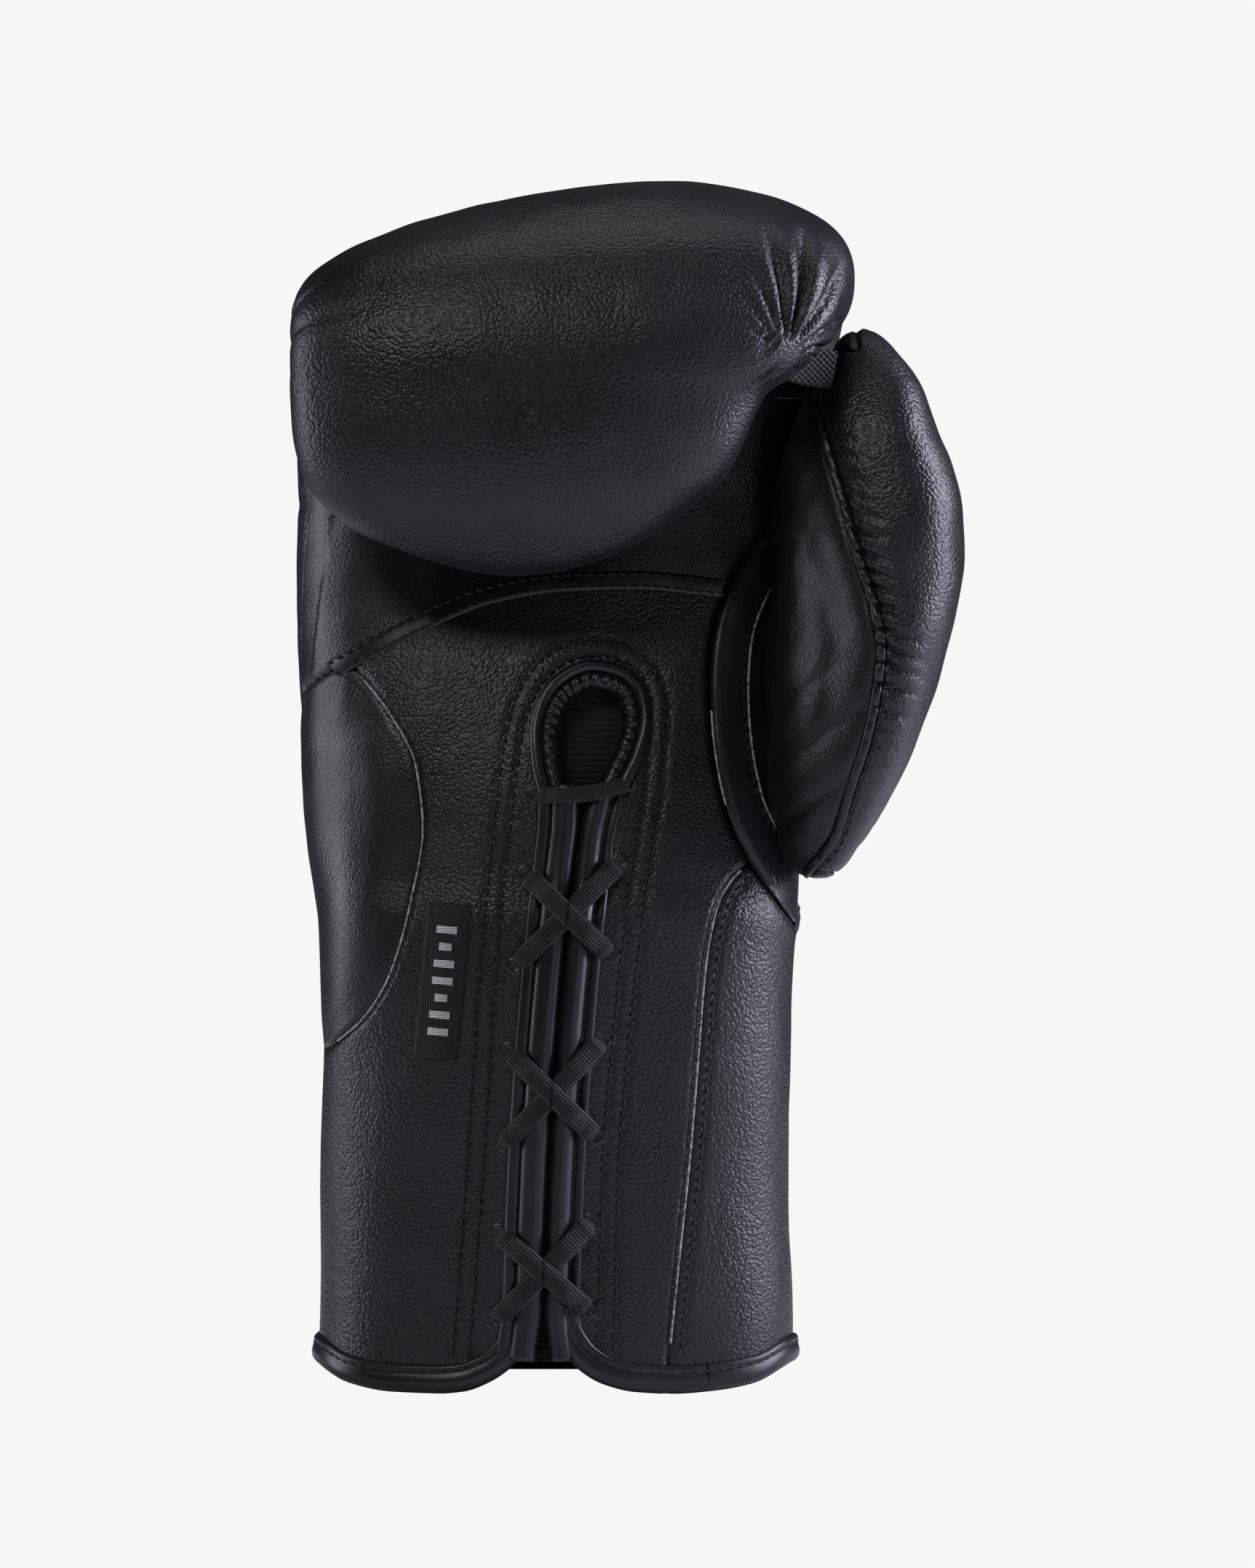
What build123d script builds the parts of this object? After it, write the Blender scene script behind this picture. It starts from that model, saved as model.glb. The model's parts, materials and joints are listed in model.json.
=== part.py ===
"""Lace-up boxing glove for the right hand.

The glove stands on its cuff hem.  +Z runs from the hem to the knuckles, +X to the thumb, +Y to the back of
the hand and -Y to the palm.  The origin is the middle of the footprint on the ground, below the glove.
"""

import math
import os

from build123d import *

os.makedirs("parts", exist_ok=True)

# ---------------------------------------------------------------- driving dimensions (mm)
# overall
OVERALL_WIDTH = 183.4  # pinky side of the fist to the outside of the thumb
OVERALL_DEPTH = 130.0  # front of the finger lobe to the back of the hand
CUFF_HEIGHT = 127.0  # hem to wrist seam
HAND_LENGTH = 145.0  # wrist seam to the finger crook
KNUCKLE_RISE = 58.0  # finger crook to the top of the knuckles
LOBE_DROP = 50.0  # finger crook down to the lower edge of the finger lobe

# cuff
CUFF_WIDTH = 129.5
CUFF_DEPTH = 80.0
CUFF_PALM_Y = -37.0
ROUNDNESS = 0.45  # corner radius of a cross-section over its depth

# layers
LEATHER = 1.6
LINING = 0.8
LAYER_GAP = 0.6
CUFF_WALL = 9.0  # leather, foam and air gap together, outside the lining
KNUCKLE_PAD = 5.0

# finger crook
CROOK_RADIUS = 2.5  # open fold between the palm and the finger lobe
POCKET_RADIUS = 13.0  # crook centre to the near side of the finger pocket
GRIP_BAR_DIAMETER = 7.0
GRIP_BAR_LENGTH = 96.0

# hem and wrist band
HEM_HEIGHT = 7.7
HEM_THICKNESS = 1.2
WRIST_BAND_HEIGHT = 10.0
WRIST_BAND_THICKNESS = 1.0

# lacing
FLAP_FOLD_HEIGHT = 150.0  # where both fold lines meet the lacing gap
FLAP_HALF_WIDTH = 31.0  # lacing gap to the foot of a fold line
FLAP_GAP = 1.2
FOLD_CLEARANCE = 0.5
INNER_RECESS = 2.0  # foam and lining stay behind the rolled edge
EDGE_ROLL_WIDTH = 6.5
GAP_FOOT_X = -23.4
GAP_DRIFT = 11.0  # how far the gap leans to the thumb on its way up
THROAT_Z = 181.0
THROAT_RADIUS = 9.0
THROAT_ROLL = 3.2
THROAT_PIPING = 1.8
LACE_WIDTH = 6.0
LACE_THICKNESS = 1.2
LACE_HOLE_DIAMETER = 5.0
LACE_CORE_DIAMETER = 3.4  # the lace bunches up where it passes through a hole
LACE_HOLE_OFFSET = 12.6  # lacing gap to the middle of a hole

# tongue
TONGUE_WIDTH = 46.0
TONGUE_TOP_Z = 186.0
TONGUE_FOOT_Z = 10.0
TONGUE_FOAM = 2.4
TONGUE_FACE = 1.0

# palm
SEAM_STRIP_WIDTH = 5.0
LABEL_WIDTH = 12.0
LABEL_LENGTH = 42.0
LABEL_THICKNESS = 0.7
GUSSET_WIDTH = 9.5

# thumb
THUMB_WALL = 11.0
THUMB_CLEARANCE = 2.6
THUMB_PORT_HEIGHT = 40.0
THUMB_PORT_DEPTH = 22.0
STRAP_WIDTH = 10.0
STRAP_THICKNESS = 1.6

# ---------------------------------------------------------------- places worked out from them
WRIST_Z = CUFF_HEIGHT
CROOK_Z = CUFF_HEIGHT + HAND_LENGTH
TOP_Z = CROOK_Z + KNUCKLE_RISE
HALF_WIDTH = OVERALL_WIDTH / 2
HALF_DEPTH = OVERALL_DEPTH / 2
CROOK_Y = -14.0
CUFF_LEFT = -HALF_WIDTH + 6.7
CUFF_RIGHT = CUFF_LEFT + CUFF_WIDTH
CUFF_BACK_Y = CUFF_PALM_Y + CUFF_DEPTH
SIDE_Y = CUFF_PALM_Y + 0.55 * CUFF_DEPTH  # where the palm pieces meet the back pieces
REACH = 2 * OVERALL_WIDTH  # longer than any piece
UNDER = -10.0  # below the hem
BACK_OUT = HALF_DEPTH - CROOK_Y
LOBE_OUT = HALF_DEPTH + CROOK_Y


def gap_x(z):
    """Middle of the lacing gap at height z."""
    return GAP_FOOT_X + GAP_DRIFT * (z / (THROAT_Z - 2 * THROAT_RADIUS)) ** 2


THROAT_X = gap_x(THROAT_Z) + 1.0

# A station is (plane, pinky side, thumb side, inner side, outer side) of one cross-section.
# Up to the crook the planes are level; round the crook they fan out about the crook line.


def level(z):
    """Level section plane: local y is the depth of the glove."""
    return Plane(origin=(0, 0, z), x_dir=(1, 0, 0), z_dir=(0, 0, 1))


def fan(angle, drop=0.0):
    """Section plane turned about the crook line; local y points out of the curl."""
    turn = math.radians(angle)
    return Plane(
        origin=(0, CROOK_Y, CROOK_Z - drop),
        x_dir=(1, 0, 0),
        z_dir=(0, -math.sin(turn), math.cos(turn)),
    )


TUBE = [
    (level(0), CUFF_LEFT, CUFF_RIGHT, CUFF_PALM_Y, CUFF_BACK_Y),
    (level(0.5 * WRIST_Z), CUFF_LEFT + 1.2, CUFF_RIGHT - 0.4, CUFF_PALM_Y + 1.2, CUFF_BACK_Y - 2.0),
    (level(WRIST_Z), CUFF_LEFT + 1.0, CUFF_RIGHT + 0.6, CUFF_PALM_Y + 1.0, CUFF_BACK_Y),
    (level(WRIST_Z + 0.27 * HAND_LENGTH), -HALF_WIDTH + 3.0, CUFF_RIGHT + 2.0, CUFF_PALM_Y + 7, HALF_DEPTH - 9),
    (level(WRIST_Z + 0.61 * HAND_LENGTH), -HALF_WIDTH + 0.4, CUFF_RIGHT + 4.0, CROOK_Y - 2.0, HALF_DEPTH - 0.4),
    (level(CROOK_Z), -HALF_WIDTH + 0.2, CUFF_RIGHT + 11.0, CROOK_Y + CROOK_RADIUS, HALF_DEPTH - 0.6),
]
CURL = [
    (fan(0), -HALF_WIDTH + 0.2, CUFF_RIGHT + 11.0, CROOK_RADIUS, BACK_OUT - 0.6),
    (fan(45), -HALF_WIDTH + 0.6, CUFF_RIGHT + 15.0, CROOK_RADIUS, 0.5 * (BACK_OUT + KNUCKLE_RISE) + 1.0),
    (fan(90), -HALF_WIDTH + 1.2, CUFF_RIGHT + 17.0, CROOK_RADIUS, KNUCKLE_RISE),
    (fan(135), -HALF_WIDTH + 1.0, CUFF_RIGHT + 12.0, CROOK_RADIUS, 0.5 * (KNUCKLE_RISE + LOBE_OUT) + 1.0),
    (fan(180), -HALF_WIDTH + 1.0, CUFF_RIGHT - 6.5, CROOK_RADIUS, LOBE_OUT - 0.3),
]
LOBE = [
    (fan(180), -HALF_WIDTH + 1.0, CUFF_RIGHT - 6.5, CROOK_RADIUS, LOBE_OUT - 0.3),
    (fan(180, 0.44 * LOBE_DROP), -HALF_WIDTH + 2.0, CUFF_RIGHT - 16.0, CROOK_RADIUS, LOBE_OUT - 0.5),
    (fan(180, 0.78 * LOBE_DROP), -HALF_WIDTH + 14.0, CUFF_RIGHT - 33.0, CROOK_RADIUS + 2, LOBE_OUT - 6.0),
    (fan(180, LOBE_DROP), -HALF_WIDTH + 42.0, CUFF_RIGHT - 54.0, CROOK_RADIUS + 11, LOBE_OUT - 17.0),
]
TUBE_HOLLOW = [
    (level(0), CUFF_LEFT + CUFF_WALL, CUFF_RIGHT - CUFF_WALL, CUFF_PALM_Y + CUFF_WALL, CUFF_BACK_Y - CUFF_WALL),
    (level(0.5 * WRIST_Z), CUFF_LEFT + CUFF_WALL + 1, CUFF_RIGHT - CUFF_WALL,
     CUFF_PALM_Y + CUFF_WALL, CUFF_BACK_Y - CUFF_WALL - 2),
    (level(WRIST_Z), CUFF_LEFT + CUFF_WALL + 2, CUFF_RIGHT - CUFF_WALL,
     CUFF_PALM_Y + CUFF_WALL + 1, CUFF_BACK_Y - CUFF_WALL - 4),
    (level(WRIST_Z + 0.27 * HAND_LENGTH), CUFF_LEFT + 12, CUFF_RIGHT - 9, CUFF_PALM_Y + 16.5, 32.0),
    (level(WRIST_Z + 0.61 * HAND_LENGTH), CUFF_LEFT + 12, CUFF_RIGHT - 8, CROOK_Y + 8.0, 29.0),
    (level(CROOK_Z), CUFF_LEFT + 12, CUFF_RIGHT - 5, CROOK_Y + POCKET_RADIUS, 26.0),
]
CURL_HOLLOW = [
    (fan(0), CUFF_LEFT + 12, CUFF_RIGHT - 5, POCKET_RADIUS, 26.0 - CROOK_Y),
    (fan(45), CUFF_LEFT + 12, CUFF_RIGHT - 4, POCKET_RADIUS, POCKET_RADIUS + 22.0),
    (fan(90), CUFF_LEFT + 12, CUFF_RIGHT - 4, POCKET_RADIUS, POCKET_RADIUS + 19.0),
    (fan(135), CUFF_LEFT + 12, CUFF_RIGHT - 9, POCKET_RADIUS, POCKET_RADIUS + 18.0),
    (fan(180), CUFF_LEFT + 12, CUFF_RIGHT - 19, POCKET_RADIUS, POCKET_RADIUS + 17.0),
]
LOBE_HOLLOW = [
    (fan(180), CUFF_LEFT + 12, CUFF_RIGHT - 19, POCKET_RADIUS, POCKET_RADIUS + 17.0),
    (fan(180, 0.44 * LOBE_DROP), CUFF_LEFT + 13, CUFF_RIGHT - 28, POCKET_RADIUS, POCKET_RADIUS + 17.0),
    (fan(180, 0.70 * LOBE_DROP), CUFF_LEFT + 22, CUFF_RIGHT - 44, POCKET_RADIUS + 1, POCKET_RADIUS + 15.0),
]
THUMB_LEFT = CUFF_RIGHT - 9.0
THUMB_FOOT_Z = WRIST_Z + 14.0
THUMB_TIP_Z = CROOK_Z + 16.0
THUMB_LENGTH = THUMB_TIP_Z - THUMB_FOOT_Z
THUMB = [
    (level(THUMB_FOOT_Z), THUMB_LEFT + 9, THUMB_LEFT + 19, -19, -5),
    (level(THUMB_FOOT_Z + 0.10 * THUMB_LENGTH), THUMB_LEFT + 2, THUMB_LEFT + 31, -32, 6),
    (level(THUMB_FOOT_Z + 0.29 * THUMB_LENGTH), THUMB_LEFT, HALF_WIDTH - 11, -40, 14),
    (level(THUMB_FOOT_Z + 0.48 * THUMB_LENGTH), THUMB_LEFT + 1, HALF_WIDTH - 2.4, -42, 18),
    (level(THUMB_FOOT_Z + 0.66 * THUMB_LENGTH), THUMB_LEFT + 3, HALF_WIDTH - 0.3, -41, 18),
    (level(THUMB_FOOT_Z + 0.82 * THUMB_LENGTH), THUMB_LEFT + 9, HALF_WIDTH - 7, -36, 13),
    (level(THUMB_FOOT_Z + 0.95 * THUMB_LENGTH), THUMB_LEFT + 18, HALF_WIDTH - 17, -26, 3),
    (level(THUMB_TIP_Z), THUMB_LEFT + 25, HALF_WIDTH - 23, -18, -5),
]
THUMB_HOLLOW = [
    (level(THUMB_FOOT_Z + 0.16 * THUMB_LENGTH), THUMB_LEFT + THUMB_WALL, THUMB_LEFT + 28, -24, 1),
    (level(THUMB_FOOT_Z + 0.45 * THUMB_LENGTH), THUMB_LEFT + THUMB_WALL + 1, HALF_WIDTH - 17, -28, 5),
    (level(THUMB_FOOT_Z + 0.70 * THUMB_LENGTH), THUMB_LEFT + THUMB_WALL + 5, HALF_WIDTH - 17, -26, 4),
    (level(THUMB_FOOT_Z + 0.86 * THUMB_LENGTH), THUMB_LEFT + THUMB_WALL + 11, HALF_WIDTH - 22, -20, -3),
]


def form(stations, inset=0.0, closed=(False, False)):
    """Smooth solid through the stations, its sides and each closed end moved in by the inset."""
    sections = []
    for number, (plane, left, right, inner, outer) in enumerate(stations):
        move = 0.0
        if number == 0 and closed[0]:
            move = inset
        if number == len(stations) - 1 and closed[1]:
            move = -inset
        with BuildSketch(plane.offset(move)) as section:
            with Locations(((left + right) / 2, (inner + outer) / 2)):
                RectangleRounded(
                    right - left - 2 * inset,
                    outer - inner - 2 * inset,
                    ROUNDNESS * min(right - left, outer - inner) - inset,
                )
        sections.append(section.sketch)
    with BuildPart() as solid:
        loft(sections)
    return solid.part


def front(y=SIDE_Y):
    """Front-view plane at depth y; an extrusion from it runs towards the palm."""
    return Plane.XZ.offset(-y)


# ---------------------------------------------------------------- front-view outlines
APEX = (gap_x(FLAP_FOLD_HEIGHT), FLAP_FOLD_HEIGHT)
FOLD_FOOT_PINKY = (GAP_FOOT_X + 1.9 - FLAP_HALF_WIDTH, 0.0)
FOLD_FOOT_THUMB = (GAP_FOOT_X + 1.9 + FLAP_HALF_WIDTH, 0.0)
TIP_TOLERANCE = 0.01


def fold_x(side, z):
    """Fold line of one flap at height z."""
    foot = FOLD_FOOT_PINKY if side < 0 else FOLD_FOOT_THUMB
    return foot[0] + (APEX[0] - foot[0]) * z / FLAP_FOLD_HEIGHT


def tip_z(side, edge, clearance):
    """Height where a flap's free edge meets its fold line."""
    low, high = 0.0, FLAP_FOLD_HEIGHT
    while high - low > TIP_TOLERANCE:
        z = (low + high) / 2
        room = side * (fold_x(side, z) - gap_x(z)) - edge - clearance
        if room > 0:
            low = z
        else:
            high = z
    return low


def flap_outline(side, edge, clearance=FOLD_CLEARANCE):
    """One flap: fold line, hem and its free edge; side is -1 at the pinky, 1 at the thumb."""
    shift = side * edge
    top = tip_z(side, edge, clearance)
    low = (gap_x(0) + shift, UNDER)
    middle = (gap_x(top / 2) + shift, top / 2)
    inside = (fold_x(side, UNDER) - side * clearance, UNDER)
    with BuildSketch(front()) as outline:
        with BuildLine():
            free_edge = ThreePointArc(low, middle, (gap_x(top) + shift, top))
            Line(free_edge @ 1, inside)
            Line(inside, low)
        make_face()
    return outline.sketch


def flap_zone():
    """Both flaps and the slit above them: what the fixed palm pieces leave open."""
    with BuildSketch(front()) as outline:
        Polygon(APEX, (fold_x(-1, UNDER), UNDER), (fold_x(1, UNDER), UNDER), align=None)
        with BuildLine():
            slit = Line((APEX[0], FLAP_FOLD_HEIGHT - 12), (THROAT_X, THROAT_Z))
        trace(slit, line_width=FLAP_GAP)
        with Locations((THROAT_X, THROAT_Z)):
            Circle(THROAT_RADIUS + THROAT_ROLL + THROAT_PIPING + 2 * LAYER_GAP)
    return outline.sketch


def throat_ring(inner, outer):
    """Ring round the top of the lacing, open at the slit."""
    with BuildSketch(front()) as outline:
        with Locations((THROAT_X, THROAT_Z)):
            Circle(outer)
            Circle(inner, mode=Mode.SUBTRACT)
        with Locations((THROAT_X - 1.0, THROAT_Z - outer)):
            Rectangle(FLAP_GAP, 2 * outer, mode=Mode.SUBTRACT)
    return outline.sketch


HOLE_HEIGHTS = [164.0, 142.0, 117.5, 94.5, 68.5, 45.5, 21.5]


def hole(side, z):
    """Front-view place of one lace hole."""
    return (gap_x(z) + side * LACE_HOLE_OFFSET, z)


def lace_holes():
    """All punched holes."""
    with BuildSketch(front()) as outline:
        for z in HOLE_HEIGHTS:
            with Locations(hole(-1, z), hole(1, z)):
                Circle(LACE_HOLE_DIAMETER / 2)
    return outline.sketch


SEAM_LEFT = (-HALF_WIDTH - 5, WRIST_Z + 0.42 * HAND_LENGTH)
SEAM_TOP = (CUFF_LEFT + 68, WRIST_Z + 0.645 * HAND_LENGTH)
SEAM_RIGHT = (CUFF_RIGHT + 15, WRIST_Z + 0.58 * HAND_LENGTH)
PINKY_TOP = (-HALF_WIDTH - 4, WRIST_Z + 76.0)
PINKY_MIDDLE = (CUFF_LEFT + 29.3, WRIST_Z + 26.0)
PINKY_FOOT = (CUFF_LEFT - 8, WRIST_Z - 38.0)
CUFF_SEAM_TOP = (CUFF_RIGHT - 12, WRIST_Z + 16.0)
CUFF_SEAM_MIDDLE = (CUFF_RIGHT - 24, WRIST_Z - 12.0)
CUFF_SEAM_FOOT = (FOLD_FOOT_THUMB[0] + 1.6, 0.0)
GUSSET_TOP = (CUFF_RIGHT + 14, CROOK_Z - 12.0)
GUSSET_MIDDLE = (CUFF_RIGHT - 22.5, WRIST_Z + 62.0)
GUSSET_FOOT = (CUFF_RIGHT + 6, WRIST_Z - 4.0)


def above_seam(offset):
    """Everything above the palm seam arch lowered by the offset."""
    left = (SEAM_LEFT[0], SEAM_LEFT[1] - offset)
    top = (SEAM_TOP[0], SEAM_TOP[1] - offset)
    right = (SEAM_RIGHT[0], SEAM_RIGHT[1] - offset)
    with BuildSketch(front()) as outline:
        with BuildLine():
            ThreePointArc(left, top, right)
            Line(right, (right[0], TOP_Z))
            Line((right[0], TOP_Z), (left[0], TOP_Z))
            Line((left[0], TOP_Z), left)
        make_face()
    return outline.sketch


def pinky_zone(offset):
    """The smooth panel's place at the pinky side, grown by the offset."""
    top = (PINKY_TOP[0], PINKY_TOP[1] + offset)
    middle = (PINKY_MIDDLE[0] + offset, PINKY_MIDDLE[1])
    foot = (PINKY_FOOT[0], PINKY_FOOT[1] - offset)
    with BuildSketch(front()) as outline:
        with BuildLine():
            ThreePointArc(top, middle, foot)
            Line(foot, (-REACH, foot[1]))
            Line((-REACH, foot[1]), (-REACH, top[1]))
            Line((-REACH, top[1]), top)
        make_face()
    return outline.sketch


def cuff_side_zone(offset):
    """The cuff panel's place at the thumb side, grown by the offset."""
    top = (CUFF_SEAM_TOP[0] - offset, CUFF_SEAM_TOP[1])
    middle = (CUFF_SEAM_MIDDLE[0] - offset, CUFF_SEAM_MIDDLE[1])
    foot = (CUFF_SEAM_FOOT[0] - offset, CUFF_SEAM_FOOT[1])
    with BuildSketch(front()) as outline:
        with BuildLine():
            Line(top, middle)
            Line(middle, foot)
            Line(foot, (foot[0], UNDER))
            Line((foot[0], UNDER), (REACH, UNDER))
            Line((REACH, UNDER), (REACH, top[1]))
            Line((REACH, top[1]), top)
        make_face()
    return outline.sketch


def gusset_zone(offset):
    """Everything on the thumb side of the gusset band's edge, moved out by the offset."""
    top = (GUSSET_TOP[0], GUSSET_TOP[1] - offset)
    middle = (GUSSET_MIDDLE[0] + offset, GUSSET_MIDDLE[1])
    foot = (GUSSET_FOOT[0], GUSSET_FOOT[1] + offset)
    with BuildSketch(front()) as outline:
        with BuildLine():
            ThreePointArc(top, middle, foot)
            Line(foot, (REACH, foot[1]))
            Line((REACH, foot[1]), (REACH, top[1]))
            Line((REACH, top[1]), top)
        make_face()
    return outline.sketch


def thumb_port():
    """Way from the hand into the thumb: a slot in the thumb side of the hand's wall."""
    with BuildSketch(Plane.YZ.offset(CUFF_RIGHT - 22.0)) as outline:
        with Locations((-8.0, THUMB_FOOT_Z + 12.0 + THUMB_PORT_HEIGHT / 2)):
            RectangleRounded(THUMB_PORT_DEPTH, THUMB_PORT_HEIGHT, THUMB_PORT_DEPTH * ROUNDNESS)
    return outline.sketch


THUMB_PORT_REACH = 42.0

# ---------------------------------------------------------------- zones that cut the walls into pieces
PARTING = LAYER_GAP / 2
PANEL_START = HEM_THICKNESS + LAYER_GAP
BACK_NEAR = SIDE_Y + LAYER_GAP
GRIP_DEPTH = 12.0  # how far the grip panel reaches round the finger lobe
TIP_CLOSED = (False, True)


def slab(low, high, near=-REACH, far=REACH):
    """Block between two heights and two depths, wider than the glove."""
    with BuildPart() as block:
        with BuildSketch(Plane.YZ.offset(-REACH)):
            with Locations(((near + far) / 2, (low + high) / 2)):
                Rectangle(far - near, high - low)
        extrude(amount=2 * REACH)
    return block.part


port = extrude(thumb_port(), amount=THUMB_PORT_REACH)
hole_pins = extrude(lace_holes(), amount=REACH)
flap_wedge = extrude(flap_zone(), amount=REACH)
cuff_back = slab(PANEL_START, WRIST_Z - PARTING, near=BACK_NEAR)
hand_back = slab(WRIST_Z + PARTING, 2 * TOP_Z, near=BACK_NEAR)
palm_side = slab(PANEL_START, CROOK_Z - PARTING, far=SIDE_Y)
lobe_room = slab(UNDER, CROOK_Z - PARTING)

# ---------------------------------------------------------------- layered walls, before they are cut into panels
with BuildPart() as leather_tube:
    add(form(TUBE))
    add(form(TUBE, LEATHER), mode=Mode.SUBTRACT)

with BuildPart() as foam_tube:
    add(form(TUBE, LEATHER + LAYER_GAP))
    add(form(TUBE_HOLLOW, -LAYER_GAP), mode=Mode.SUBTRACT)

with BuildPart() as lining_tube:
    add(form(TUBE_HOLLOW))
    add(form(TUBE_HOLLOW, LINING), mode=Mode.SUBTRACT)

with BuildPart() as palm_leather:
    add(leather_tube.part)
    add(palm_side, mode=Mode.INTERSECT)
    add(port, mode=Mode.SUBTRACT)

with BuildPart() as palm_foam_wall:
    add(foam_tube.part)
    add(palm_side, mode=Mode.INTERSECT)
    add(hole_pins, mode=Mode.SUBTRACT)
    add(port, mode=Mode.SUBTRACT)

pieces = {}

# ---------------------------------------------------------------- fist
with BuildPart() as fist_leather:
    add(leather_tube.part)
    add(hand_back, mode=Mode.INTERSECT)
    add(form(CURL))
    add(form(CURL, LEATHER), mode=Mode.SUBTRACT)
pieces["fist_leather"] = fist_leather

with BuildPart() as lobe_leather:
    add(form(LOBE))
    add(form(LOBE, LEATHER, TIP_CLOSED), mode=Mode.SUBTRACT)
    add(lobe_room, mode=Mode.INTERSECT)

with BuildPart() as finger_lobe_leather:
    add(lobe_leather.part)
    add(slab(UNDER, 2 * TOP_Z, near=CROOK_Y - GRIP_DEPTH - LAYER_GAP), mode=Mode.SUBTRACT)
pieces["finger_lobe_leather"] = finger_lobe_leather

with BuildPart() as grip_panel:
    add(lobe_leather.part)
    add(slab(UNDER, 2 * TOP_Z, near=CROOK_Y - GRIP_DEPTH), mode=Mode.INTERSECT)
pieces["grip_panel"] = grip_panel

pad_block = slab(WRIST_Z + 60.0, CROOK_Z - PARTING, near=BACK_NEAR)
with BuildPart() as knuckle_pad:
    add(form(TUBE_HOLLOW, -LAYER_GAP - KNUCKLE_PAD))
    add(form(TUBE_HOLLOW, -LAYER_GAP), mode=Mode.SUBTRACT)
    add(pad_block, mode=Mode.INTERSECT)
pieces["knuckle_pad"] = knuckle_pad

with BuildPart() as pad_room:
    add(form(TUBE_HOLLOW, -2 * LAYER_GAP - KNUCKLE_PAD))
    add(slab(WRIST_Z + 60.0 - LAYER_GAP, CROOK_Z, near=SIDE_Y), mode=Mode.INTERSECT)

GRIP_BAR_Z = CROOK_Z + (CROOK_RADIUS + LEATHER + POCKET_RADIUS) / 2
with BuildPart() as grip_bar:
    with BuildSketch(Plane.YZ.offset(CUFF_LEFT + 14.0)):
        with Locations((CROOK_Y, GRIP_BAR_Z)):
            Circle(GRIP_BAR_DIAMETER / 2)
    extrude(amount=GRIP_BAR_LENGTH)
pieces["grip_bar"] = grip_bar

with BuildPart() as grip_bar_room:
    with BuildSketch(Plane.YZ.offset(CUFF_LEFT + 14.0 - LAYER_GAP)):
        with Locations((CROOK_Y, GRIP_BAR_Z)):
            Circle(GRIP_BAR_DIAMETER / 2 + LAYER_GAP)
    extrude(amount=GRIP_BAR_LENGTH + 2 * LAYER_GAP)

with BuildPart() as impact_foam:
    add(foam_tube.part)
    add(hand_back, mode=Mode.INTERSECT)
    add(pad_room.part, mode=Mode.SUBTRACT)
pieces["impact_foam"] = impact_foam

with BuildPart() as knuckle_foam:
    add(form(CURL, LEATHER + LAYER_GAP))
    add(form(CURL_HOLLOW, -LAYER_GAP), mode=Mode.SUBTRACT)
    add(slab(CROOK_Z + PARTING, 2 * TOP_Z), mode=Mode.INTERSECT)
    add(grip_bar_room.part, mode=Mode.SUBTRACT)
pieces["knuckle_foam"] = knuckle_foam

with BuildPart() as finger_foam:
    add(form(LOBE, LEATHER + LAYER_GAP, TIP_CLOSED))
    add(form(LOBE_HOLLOW, -LAYER_GAP, TIP_CLOSED), mode=Mode.SUBTRACT)
    add(lobe_room, mode=Mode.INTERSECT)
pieces["finger_foam"] = finger_foam

with BuildPart() as finger_pocket_lining:
    add(form(LOBE_HOLLOW))
    add(form(LOBE_HOLLOW, LINING, TIP_CLOSED), mode=Mode.SUBTRACT)
    add(lobe_room, mode=Mode.INTERSECT)
pieces["finger_pocket_lining"] = finger_pocket_lining

with BuildPart() as knuckle_lining:
    add(form(CURL_HOLLOW))
    add(form(CURL_HOLLOW, LINING), mode=Mode.SUBTRACT)
    add(slab(CROOK_Z + PARTING, 2 * TOP_Z), mode=Mode.INTERSECT)
pieces["knuckle_lining"] = knuckle_lining

with BuildPart() as hand_lining:
    add(lining_tube.part)
    add(slab(PANEL_START, CROOK_Z - PARTING), mode=Mode.INTERSECT)
    add(flap_wedge, mode=Mode.SUBTRACT)
    add(hole_pins, mode=Mode.SUBTRACT)
    add(port, mode=Mode.SUBTRACT)
pieces["hand_lining"] = hand_lining

# ---------------------------------------------------------------- palm
with BuildPart() as palm_foam:
    add(palm_foam_wall.part)
    add(flap_wedge, mode=Mode.SUBTRACT)
pieces["palm_foam"] = palm_foam

with BuildPart() as upper_palm_panel:
    add(palm_leather.part)
    extrude(above_seam(-PARTING), amount=REACH, mode=Mode.INTERSECT)
    extrude(gusset_zone(-PARTING), amount=REACH, mode=Mode.SUBTRACT)
pieces["upper_palm_panel"] = upper_palm_panel

with BuildPart() as palm_seam_strip:
    add(palm_leather.part)
    extrude(above_seam(SEAM_STRIP_WIDTH - PARTING), amount=REACH, mode=Mode.INTERSECT)
    extrude(above_seam(PARTING), amount=REACH, mode=Mode.SUBTRACT)
    extrude(gusset_zone(-PARTING), amount=REACH, mode=Mode.SUBTRACT)
pieces["palm_seam_strip"] = palm_seam_strip

with BuildPart() as palm_panel:
    add(palm_leather.part)
    extrude(above_seam(SEAM_STRIP_WIDTH + PARTING), amount=REACH, mode=Mode.SUBTRACT)
    extrude(pinky_zone(PARTING), amount=REACH, mode=Mode.SUBTRACT)
    extrude(cuff_side_zone(PARTING), amount=REACH, mode=Mode.SUBTRACT)
    extrude(gusset_zone(-PARTING), amount=REACH, mode=Mode.SUBTRACT)
    add(flap_wedge, mode=Mode.SUBTRACT)
    add(hole_pins, mode=Mode.SUBTRACT)
pieces["palm_panel"] = palm_panel

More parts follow.
